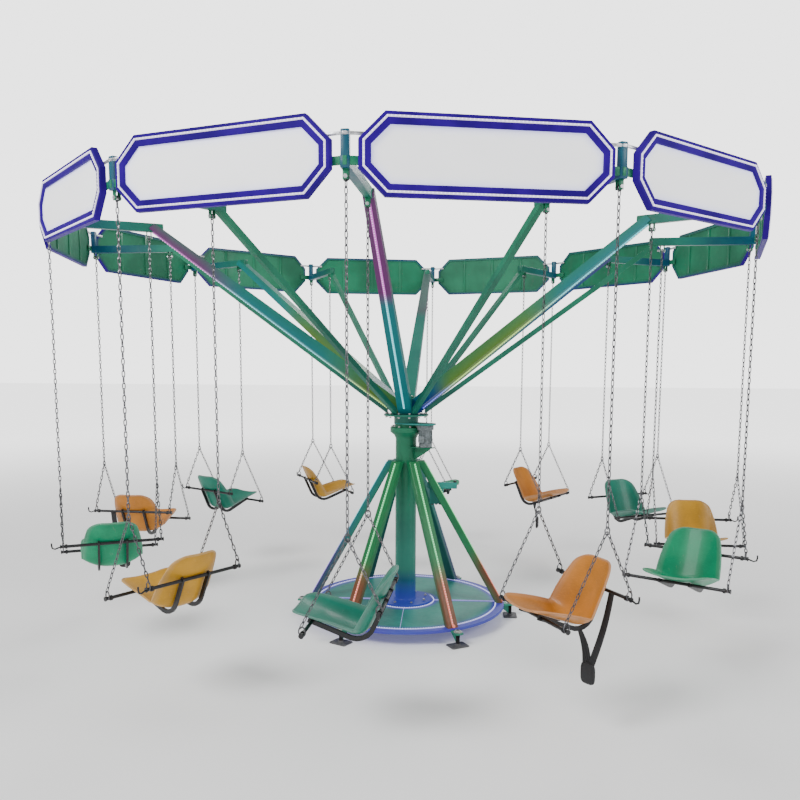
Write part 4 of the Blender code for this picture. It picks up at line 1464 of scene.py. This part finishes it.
def seat_shell(name, place, finishes):
    """A moulded bucket with a rolled lip all round."""
    columns = steps_between(-1.0, 1.0, SHELL_COLUMNS)
    rows = [[shell_point(across, along) for across in columns] for along in shell_stations()]

    def normal(i, k):
        down = rows[min(i + 1, SHELL_ROWS)][k] - rows[max(i - 1, 0)][k]
        side = rows[i][min(k + 1, SHELL_COLUMNS)] - rows[i][max(k - 1, 0)]
        return down.cross(side).normalized()

    shape = Shape()
    outer, inner = [], []
    for grid, offset in ((outer, SHELL_THICKNESS / 2), (inner, -SHELL_THICKNESS / 2)):
        for i, row in enumerate(rows):
            line = []
            for k, point in enumerate(row):
                # glow marks the rim rows, for the painted highlight along the shell's rim
                edge = min(i, SHELL_ROWS - i, k, SHELL_COLUMNS - k)
                glow = 1.0 if edge == 0 else 0.45 if edge == 1 else 0.0
                line.append(shape.add_point(place @ (point + normal(i, k) * offset), glow=glow))
            grid.append(line)
    for i in range(SHELL_ROWS):
        for k in range(SHELL_COLUMNS):
            shape.add_face((outer[i][k], outer[i][k + 1], outer[i + 1][k + 1], outer[i + 1][k]))
            shape.add_face((inner[i][k], inner[i + 1][k], inner[i + 1][k + 1], inner[i][k + 1]))
    border = [(0, k) for k in range(SHELL_COLUMNS)]
    border += [(i, SHELL_COLUMNS) for i in range(SHELL_ROWS)]
    border += [(SHELL_ROWS, k) for k in range(SHELL_COLUMNS, 0, -1)]
    border += [(i, 0) for i in range(SHELL_ROWS, 0, -1)]
    for (i, k), (j, m) in zip(border, border[1:] + border[:1]):
        shape.add_face((outer[i][k], inner[i][k], inner[j][m], outer[j][m]))
    made = shape.build(name, finishes, 50.0)
    loop = [rows[i][k] for i, k in border]
    rings = []
    for index, (i, k) in enumerate(border):
        ahead = (loop[(index + 1) % len(loop)] - loop[index - 1]).normalized()
        up = normal(i, k)
        aside = ahead.cross(up).normalized()
        rings.append([
            loop[index] + (aside * math.cos(angle) + up * math.sin(angle)) * LIP_RADIUS
            for angle in (2 * math.pi * step / 8 for step in range(8))
        ])
    lip = Shape()
    lip.loft([*rings, rings[0]], 0, lit(DARK), ends=False, place=place)
    return join_pieces(made, lip.build(name + "_lip", finishes, 60.0))


def join_pieces(first, second):
    """Joins the second mesh, of the same finishes, into the first."""
    bm = bmesh.new()
    bm.from_mesh(first.data)
    bm.from_mesh(second.data)
    bm.to_mesh(first.data)
    bm.free()
    bpy.data.objects.remove(second, do_unlink=True)
    return first


def hanger_ends():
    """Where the chain's lower ends meet the frame: the front and the rear cross bar."""
    offset = SHELL_THICKNESS / 2 + CROSS_BAR_RADIUS + GAP
    front = seat_profile(bar_along(FRONT_BAR_ALONG), offset)[0]
    rear = seat_profile(bar_along(REAR_BAR_ALONG, back=True), offset)[0]
    return front, rear


def wire_ring(centre, half_depth, half_height):
    """The closed path of an oval ring that stands fore and aft."""
    return [
        centre + Vector((0.0, half_depth * math.cos(angle), half_height * math.sin(angle)))
        for angle in steps_between(0.0, 2 * math.pi, 18)
    ]


def seat_frame(name, place, finishes):
    """Black cross bars and flat side bars under the shell, with collars, hooks and shackles."""
    shape = Shape()
    bars = hanger_ends()
    for forward, height in bars:
        ends = (-CHAIN_REACH - 0.012, 0.0, CHAIN_REACH + 0.012)
        shape.tube([seat_point(x, forward, height) for x in ends], CROSS_BAR_RADIUS, 12, 0, place)
    first = bar_along(FRONT_BAR_ALONG + 0.020)
    last = bar_along(REAR_BAR_ALONG + 0.015, back=True)
    thickness, depth = SIDE_BAR_SIZE
    for side in (-1, 1):
        x0, x1 = side * SIDE_BAR_AT - thickness / 2, side * SIDE_BAR_AT + thickness / 2
        rings = []
        for along in steps_between(first, last, 22):
            near, out = seat_profile(along, SHELL_THICKNESS / 2 + GAP)
            far = near + out * depth
            corners = ((x0, near), (x1, near), (x1, far), (x0, far))
            rings.append([seat_point(x, *at) for x, at in corners])
        shape.loft(rings, 0, place=place)
        at_chain = side * CHAIN_REACH
        for forward, height in bars:
            for start, end, radius in ((-0.024, -0.012, 0.0135), (0.010, 0.015, 0.0125)):
                collar = [
                    seat_point(side * (CHAIN_REACH + aside), forward, height)
                    for aside in (start, end)
                ]
                shape.tube(collar, radius, 12, 0, place)
            hook_ring = wire_ring(seat_point(at_chain, forward, height + 0.016), 0.014, 0.021)
            shape.tube(hook_ring, RING_WIRE, 6, 1, place)
        fork = wire_ring(seat_point(at_chain, 0.0, FORK_HEIGHT), 0.013, 0.018)
        shape.tube(fork, RING_WIRE, 6, 1, place)
        eye = wire_ring(Vector((at_chain, 0.0, -0.004)), 0.011, 0.013)
        shape.tube(eye, RING_WIRE, 6, 1, place)
    start = seat_point(CHAIN_REACH + 0.012, *bars[1])
    bends = (
        (0.0, 0.0, 0.0), (0.030, 0.004, -0.010), (0.044, 0.006, -0.004),
        (0.048, 0.006, 0.010), (0.048, 0.006, 0.026),
    )
    shape.tube([start + Vector(bend) for bend in bends], 0.0045, 8, 0, place)
    return shape.build(name, finishes)


def seat_chains(name, place, tree):
    """Both chains of a seat: from the eye to the fork, then to the front and the rear bar."""
    paths = []
    for x in (-CHAIN_REACH, CHAIN_REACH):
        fork = seat_point(x, 0.0, FORK_HEIGHT)
        top, low = Vector((x, 0.0, -CHAIN_END)), fork + Vector((0.0, 0.0, CHAIN_END))
        paths.append([place @ top, place @ low])
        for forward, height in hanger_ends():
            end = seat_point(x, forward, height + BRANCH_END)
            way = (end - fork).normalized()
            paths.append([place @ (fork + way * BRANCH_START), place @ end])
    return tree.grow(name, path_mesh(paths))


def strap(shape, path, twist, place):
    """A flat band along a path, turned about it by twist from its start to its end."""
    corners = ((-1, -1), (1, -1), (1, 1), (-1, 1))
    rings = []
    for i, point in enumerate(path):
        ahead = heading(path, i)
        angle = twist * i / (len(path) - 1)
        aside = Vector((math.cos(angle), math.sin(angle), 0.0))
        aside = (aside - ahead * aside.dot(ahead)).normalized()
        wide, thick = aside * BELT_HALF_WIDTH, ahead.cross(aside) * BELT_HALF_THICKNESS
        rings.append([point + wide * a + thick * b for a, b in corners])
    shape.loft(rings, 0, place=place)


def lap_belt(name, place, finish):
    """The two ends of the seat's belt, hanging behind the pan into one sewn pad."""
    shape = Shape()
    forward, height = seat_profile(bar_along(0.030), 0.026)[0]
    foot = seat_point(0.132, forward - 0.010, height - 0.165)
    pan_top, rear_top = seat_point(0.074, forward, height), seat_point(0.150, *hanger_ends()[1])
    for top, aside, twist in ((pan_top, -0.012, 0.95), (rear_top, 0.014, 0.30)):
        end = foot + Vector((aside, 0.0, 0.0))
        path = [
            top.lerp(end, share) + Vector((0.004, 0.010, 0.0)) * math.sin(math.pi * share)
            for share in steps_between(0.0, 1.0, 14)
        ]
        strap(shape, path, twist, place)
    half_width, half_height = SEWN_PAD_HALF
    rings = []
    for depth, inset in ((-0.007, 0.004), (-0.004, 0.0), (0.004, 0.0), (0.007, 0.004)):
        ring = []
        for k in range(20):
            angle = 2 * math.pi * k / 20
            wide, tall = math.cos(angle), math.sin(angle)
            x = (half_width - inset) * math.copysign(abs(wide) ** 0.45, wide)
            z = (half_height - inset) * math.copysign(abs(tall) ** 0.60, tall)
            ring.append(foot + Vector((x, depth + x * 0.25, z - 0.030)))
        rings.append(ring)
    shape.loft(rings, 0, place=place)
    made = shape.build(name, [finish], 60.0)
    inverse = place.inverted()
    local = [inverse @ vertex.co for vertex in made.data.vertices]
    for label, axis in (("belt_across", 0), ("belt_along", 2)):
        layer = made.data.attributes.new(label, "FLOAT", "POINT")
        layer.data.foreach_set("value", [point[axis] for point in local])
    return made


# Stage


def stage_floor():
    """A wide pale floor that brightens away from the ride."""
    size = 60.0
    mesh = bpy.data.meshes.new("floor")
    corners = [(-size, -size, 0), (size, -size, 0), (size, size, 0), (-size, size, 0)]
    mesh.from_pydata(corners, [], [(0, 1, 2, 3)])
    floor = link(mesh, "floor")
    plain = Finish("Plain pale floor", (0.88, 0.88, 0.88), 0.90, specular=0.1)
    distance = plain.add(
        "ShaderNodeVectorMath", {"operation": "LENGTH"}, {0: plain.place()}, output=1
    )
    spread = distance.ramp(2.5, 16.0)
    plain.glow(plain.mix(spread, (0.12, 0.12, 0.12), (2.0, 2.0, 2.0)), 1.0)
    mesh.materials.append(plain.material)


def add_light(name, place, target, power):
    data = bpy.data.lights.new(name, "AREA")
    data.shape = "SQUARE"
    data.size = 3.0
    data.energy = power
    lamp = link(data, name)
    lamp.location = place
    lamp.rotation_euler = (Vector(target) - Vector(place)).to_track_quat("-Z", "Y").to_euler()


def set_camera():
    """The photograph's viewpoint, turned a little off the ride's axis."""
    data = bpy.data.cameras.new("camera")
    data.sensor_width = 36.0
    data.lens = CAMERA_LENS
    data.shift_y = CAMERA_SHIFT
    camera = link(data, "camera")
    camera.location = CAMERA_PLACE
    x, y, _ = CAMERA_PLACE
    yaw = math.radians(CAMERA_YAW) - math.atan2(-x, -y)
    turn = Matrix.Rotation(yaw, 3, "Z") @ Matrix.Rotation(math.radians(90 - CAMERA_DIP), 3, "X")
    camera.rotation_euler = (turn @ Matrix.Rotation(math.radians(CAMERA_ROLL), 3, "Z")).to_euler()
    bpy.context.scene.camera = camera


# The add-on


class LampSettings(bpy.types.PropertyGroup):
    dot_spacing: bpy.props.FloatProperty(
        name="Lamp spacing", description="Distance between lamps in a strip",
        default=0.0167, min=0.008, max=0.1, unit="LENGTH",
    )
    dot_radius: bpy.props.FloatProperty(
        name="Lamp radius", description="Radius of one lamp",
        default=0.0030, min=0.001, max=0.01, unit="LENGTH",
    )
    strip_strength: bpy.props.FloatProperty(
        name="Strip brightness", description="How brightly the strips glow",
        default=1.0, min=0.0, max=20.0,
    )


class ChainSettings(bpy.types.PropertyGroup):
    pitch: bpy.props.FloatProperty(
        name="Link pitch", description="Inner length of one link",
        default=0.028, min=0.01, max=0.1, unit="LENGTH",
    )
    width: bpy.props.FloatProperty(
        name="Link width", description="Outer width of one link",
        default=0.0185, min=0.006, max=0.06, unit="LENGTH",
    )
    wire: bpy.props.FloatProperty(
        name="Wire radius", description="Radius of a link's wire",
        default=0.0027, min=0.001, max=0.01, unit="LENGTH",
    )


class PaintSettings(bpy.types.PropertyGroup):
    frame_green: bpy.props.FloatVectorProperty(
        name="Frame green", description="Paint of the column, legs, hub, arms and beams",
        default=(0.010, 0.150, 0.075), min=0.0, max=1.0, subtype="COLOR",
    )
    plate_green: bpy.props.FloatVectorProperty(
        name="Plate green", description="Paint of the base plate and the lugs of its feet",
        default=(0.030, 0.240, 0.150), min=0.0, max=1.0, subtype="COLOR",
    )
    shell_dark: bpy.props.FloatVectorProperty(
        name="Dark shell", description="First seat colour",
        default=(0.004, 0.160, 0.105), min=0.0, max=1.0, subtype="COLOR",
    )
    shell_orange: bpy.props.FloatVectorProperty(
        name="Orange shell", description="Second seat colour",
        default=(0.500, 0.185, 0.024), min=0.0, max=1.0, subtype="COLOR",
    )
    shell_green: bpy.props.FloatVectorProperty(
        name="Green shell", description="Third seat colour",
        default=(0.006, 0.260, 0.120), min=0.0, max=1.0, subtype="COLOR",
    )
    shell_ochre: bpy.props.FloatVectorProperty(
        name="Ochre shell", description="Fourth seat colour",
        default=(0.480, 0.245, 0.018), min=0.0, max=1.0, subtype="COLOR",
    )


def node_names(stem, count):
    return [f"{stem}_{index + 1}" for index in range(count)]


def fit_out(piece, body, nodes=()):
    """Puts a finished piece on the body it rides on, and hides the CAD nodes it stands for."""
    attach(piece, body)
    if nodes:
        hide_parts(*nodes)


def green_paint(context, name):
    return paint(name, tuple(context.scene.swing_paint.frame_green))


def fit_dots(context, name, paths, colours, body):
    """A row of single lamps along each path, in the colours given for its points."""
    tree = dots_tree(dot_lamps(), context.scene.swing_lamps)
    fit_out(tree.grow(name, path_mesh(paths, colours)), body)


def bolt_spots(count, circles):
    """Where bolts sit on circles of (radius, height, way up), half a step round from +X."""
    spots = []
    for index in range(count):
        angle = math.radians(360 * (index + 0.5) / count)
        for radius, height, way in circles:
            at = (radius * math.cos(angle), radius * math.sin(angle), height)
            spots.append((at, (0.0, 0.0, way)))
    return spots


class SWING_OT_base_plate(bpy.types.Operator):
    """Builds the lit base plate and its levelling feet"""

    bl_idname = "swing.base_plate"
    bl_label = "Base Plate"

    def execute(self, context):
        green = paint("Plate paint", tuple(context.scene.swing_paint.plate_green))
        black = worn_metal("Blackened screw", (0.02, 0.02, 0.022), 0.42, 0.6, 0.35)
        zinc = worn_metal("Zinc-plated nut", (0.55, 0.55, 0.53), 0.38, 0.9, 0.25)
        pad = worn_metal("Grey ground pad", (0.10, 0.10, 0.105), 0.60, 0.2, 0.2)
        fit_out(base_disc([green]), "base", ["base_plate"])
        fit_out(levelling_feet([green, black, zinc, pad]), "base")
        strength = context.scene.swing_lamps.strip_strength * 0.9
        fit_out(plate_lights(lit_strip("Plate light strip", 0.34, strength)), "base")
        lift = PLATE_TOP + DOT_RISE
        paths = [
            circle_path(OUTER_LIGHT_RADIUS, lift, 120), circle_path(INNER_LIGHT_RADIUS, lift, 60),
        ]
        colours = [[(0.4, 0.45, 1.0)] * len(path) for path in paths]
        fit_dots(context, "plate_light_dots", paths, colours, "base")
        return {"FINISHED"}


class SWING_OT_column(bpy.types.Operator):
    """Builds the column with its flanges and their bolts"""

    bl_idname = "swing.column"
    bl_label = "Column"

    def execute(self, context):
        column = column_post([green_paint(context, "Column paint")])
        fit_out(column, "base", ["column"])
        zinc = worn_metal("Zinc-plated bolts", (0.50, 0.50, 0.48), 0.40, 0.9, 0.3)
        circles = (
            (COLUMN_BOLT_CIRCLE, COLUMN_FLANGE_TOP + 0.004, 1.0),
            (NECK_BOLT_CIRCLE, LOWER_FLANGE[2] + 0.0035, 1.0),
        )
        spots = spot_mesh(bolt_spots(COLUMN_BOLTS, circles))
        bolts = bolts_tree(zinc, 0.0095, 0.009).grow("column_bolts", spots, smooth=False)
        fit_out(bolts, "base")
        return {"FINISHED"}


class SWING_OT_legs(bpy.types.Operator):
    """Builds the six legs and their light strips"""

    bl_idname = "swing.legs"
    bl_label = "Legs"

    def execute(self, context):
        legs = prop_legs([green_paint(context, "Leg paint")])
        fit_out(legs, "base", node_names("leg", ARM_COUNT))
        strength = context.scene.swing_lamps.strip_strength * 0.9
        fit_out(leg_lights(lit_strip("Leg light strip", 0.10, strength)), "base")
        lift = leg_normal() * 0.0045
        line = [point + lift for point in leg_light_path(0.015, 0.983, 40)]
        paths = [
            [at_azimuth(LEG_AZIMUTH + index * ARM_STEP) @ point for point in line]
            for index in range(ARM_COUNT)
        ]
        colours = [lights_along(pattern, 40) for pattern in LEG_LIGHTS]
        fit_dots(context, "leg_light_dots", paths, colours, "base")
        return {"FINISHED"}


class SWING_OT_drive(bpy.types.Operator):
    """Builds the motor, its plate and the control box"""

    bl_idname = "swing.drive"
    bl_label = "Drive"

    def execute(self, context):
        grey = worn_metal("Motor grey", (0.17, 0.20, 0.21), 0.50, 0.25, 0.1)
        teal = paint("Teal paint", (0.02, 0.22, 0.19))
        black = worn_metal("Black gland", (0.02, 0.02, 0.02), 0.5, 0.0, 0.0)
        fit_out(drive_unit([grey, teal]), "base", ["drive_motor", "drive_plate"])
        fit_out(control_box([teal, black]), "base", ["control_box"])
        return {"FINISHED"}


class SWING_OT_hub(bpy.types.Operator):
    """Builds the hub of the turning top and its bolts"""

    bl_idname = "swing.hub"
    bl_label = "Hub"

    def execute(self, context):
        hub = hub_drum([green_paint(context, "Hub paint")])
        fit_out(hub, "turning_top", ["hub"])
        zinc = worn_metal("Zinc-plated hub bolts", (0.50, 0.50, 0.48), 0.40, 0.9, 0.3)
        circles = (
            (HUB_BOLT_CIRCLE, HUB_FLANGE[2] + 0.004, 1.0),
            (HUB_BOLT_CIRCLE, HUB_FLANGE[1] - 0.004, -1.0),
        )
        spots = spot_mesh(bolt_spots(HUB_BOLTS, circles))
        bolts = bolts_tree(zinc, 0.0085, 0.008).grow("hub_bolts", spots, smooth=False)
        fit_out(bolts, "turning_top")
        return {"FINISHED"}


class SWING_OT_arms(bpy.types.Operator):
    """Builds the arms, mid bars and beams, with the strips under the arms"""

    bl_idname = "swing.arms"
    bl_label = "Arms and Beams"

    def execute(self, context):
        green = green_paint(context, "Arm paint")
        steel = worn_metal("Pale link plate", (0.55, 0.56, 0.58), 0.40, 0.8, 0.2)
        fit_out(main_arms([green]), "turning_top", node_names("main_arm", ARM_COUNT))
        fit_out(mid_bars([green]), "turning_top", node_names("mid_bar", ARM_COUNT))
        fit_out(level_beams([green, steel]), "turning_top")
        strength = context.scene.swing_lamps.strip_strength * 0.9
        fit_out(arm_lights(lit_strip("Arm light strip", 0.10, strength)), "turning_top")
        lift = arm_normal() * 0.005
        line = [point + lift for point in arm_light_path(0.038, 0.983, 60)]
        paths = [
            [at_azimuth(index * ARM_STEP) @ point for point in line] for index in range(ARM_COUNT)
        ]
        colours = [lights_along(pattern, 60) for pattern in ARM_LIGHTS]
        fit_dots(context, "arm_light_dots", paths, colours, "turning_top")
        return {"FINISHED"}


class SWING_OT_panels(bpy.types.Operator):
    """Builds the ring of light panels"""

    bl_idname = "swing.panels"
    bl_label = "Light Panels"

    def execute(self, context):
        border = lit_border()
        face = board_finish("White board", (0.88, 0.89, 0.90))
        boards = panel_boards([border, face, green_paint(context, "Panel back paint")])
        fit_out(boards, "turning_top", node_names("light_panel", SEAT_COUNT))
        strength = context.scene.swing_lamps.strip_strength * 1.2
        fit_out(panel_lights(lit_strip("Panel light strip", 0.52, strength)), "turning_top")
        line = panel_ring(PANEL_APOTHEM + DOT_RISE, PANEL_DOT_INSET)
        line.append(line[0])
        paths = [[panel_place(index) @ point for point in line] for index in range(SEAT_COUNT)]
        colours = [[(0.70, 0.60, 1.0)] * len(path) for path in paths]
        fit_dots(context, "panel_light_dots", paths, colours, "turning_top")
        return {"FINISHED"}


class SWING_OT_shells(bpy.types.Operator):
    """Builds the twelve bucket shells"""

    bl_idname = "swing.shells"
    bl_label = "Seat Shells"

    def execute(self, context):
        paints = context.scene.swing_paint
        kinds = (
            ("shell_dark_green", "Dark green plastic", paints.shell_dark),
            ("shell_orange", "Orange plastic", paints.shell_orange),
            ("shell_green", "Green plastic", paints.shell_green),
            ("shell_ochre", "Ochre plastic", paints.shell_ochre),
        )
        plastics = [moulded_plastic(label, tuple(colour)) for _, label, colour in kinds]
        for index in range(SEAT_COUNT):
            kind = index % len(kinds)
            shell = seat_shell(f"bucket_{index + 1}", seat_place(index), [plastics[kind]])
            fit_out(shell, f"seat_{index + 1}", [f"seat_shell_{index + 1}"])
        return {"FINISHED"}


class SWING_OT_chains(bpy.types.Operator):
    """Builds the chains, the frames under the shells and the belts"""

    bl_idname = "swing.chains"
    bl_label = "Chains and Seat Frames"

    def execute(self, context):
        sizes = context.scene.swing_chains
        steel = worn_metal("Chain steel", (0.13, 0.13, 0.14), 0.34, 0.95, 0.3, 90.0)
        black = worn_metal("Black frame steel", (0.012, 0.012, 0.014), 0.36, 0.2, 0.15)
        belt = webbing_finish("Black webbing")
        tree = chain_tree(steel, sizes.pitch, sizes.width, sizes.wire)
        for index in range(SEAT_COUNT):
            place, body = seat_place(index), f"seat_{index + 1}"
            links = seat_chains(f"chains_{index + 1}", place, tree)
            fit_out(links, body, [f"seat_hanger_{index + 1}"])
            frame_bars = seat_frame(f"seat_frame_{index + 1}", place, [black, steel])
            fit_out(frame_bars, body)
            if index % 4 == 1:
                fit_out(lap_belt(f"lap_belt_{index + 1}", place, belt), body)
        return {"FINISHED"}


class SWING_OT_stage(bpy.types.Operator):
    """Sets the floor, the lights and the camera"""

    bl_idname = "swing.stage"
    bl_label = "Stage"

    def execute(self, context):
        stage_floor()
        world = bpy.data.worlds.new("studio")
        world.use_nodes = True
        nodes, links = world.node_tree.nodes, world.node_tree.links
        background = nodes["Background"]
        background.inputs["Color"].default_value = (1.0, 1.0, 1.0, 1.0)
        seen = nodes.new("ShaderNodeLightPath").outputs["Is Camera Ray"]
        strength = nodes.new("ShaderNodeMapRange")
        strength.inputs["To Min"].default_value = 0.50
        strength.inputs["To Max"].default_value = 3.0
        links.new(seen, strength.inputs["Value"])
        links.new(strength.outputs["Result"], background.inputs["Strength"])
        context.scene.world = world
        add_light("key light", (-4.0, -6.0, 7.0), (0, 0, 1.0), 650)
        add_light("fill light", (7.0, -3.0, 5.0), (0, 0, 1.2), 260)
        add_light("back light", (1.0, 6.5, 6.0), (0, 0, 1.5), 300)
        set_camera()
        return {"FINISHED"}


OPERATORS = (
    SWING_OT_base_plate, SWING_OT_column, SWING_OT_legs, SWING_OT_drive, SWING_OT_hub,
    SWING_OT_arms, SWING_OT_panels, SWING_OT_shells, SWING_OT_chains, SWING_OT_stage,
)
SETTINGS = (
    ("swing_lamps", LampSettings), ("swing_chains", ChainSettings), ("swing_paint", PaintSettings),
)


class SWING_PT_build(bpy.types.Panel):
    bl_label = "Swing Ride"
    bl_idname = "SWING_PT_build"
    bl_space_type = "VIEW_3D"
    bl_region_type = "UI"
    bl_category = "Swing Ride"

    def draw(self, context):
        for name, group in SETTINGS:
            box = self.layout.box()
            for key in group.__annotations__:
                box.prop(getattr(context.scene, name), key)
        for operator in OPERATORS:
            self.layout.operator(operator.bl_idname)


def register():
    for name, group in SETTINGS:
        bpy.utils.register_class(group)
        setattr(bpy.types.Scene, name, bpy.props.PointerProperty(type=group))
    for item in (*OPERATORS, SWING_PT_build):
        bpy.utils.register_class(item)


def unregister():
    for item in reversed((*OPERATORS, SWING_PT_build)):
        bpy.utils.unregister_class(item)
    for name, group in reversed(SETTINGS):
        delattr(bpy.types.Scene, name)
        bpy.utils.unregister_class(group)


def main():
    register()
    for obj in [obj for obj in bpy.data.objects if obj.name in ("Cube", "Light", "Camera")]:
        bpy.data.objects.remove(obj, do_unlink=True)
    for operator in OPERATORS:
        group, name = operator.bl_idname.split(".")
        getattr(getattr(bpy.ops, group), name)()


if __name__ == "__main__":
    main()
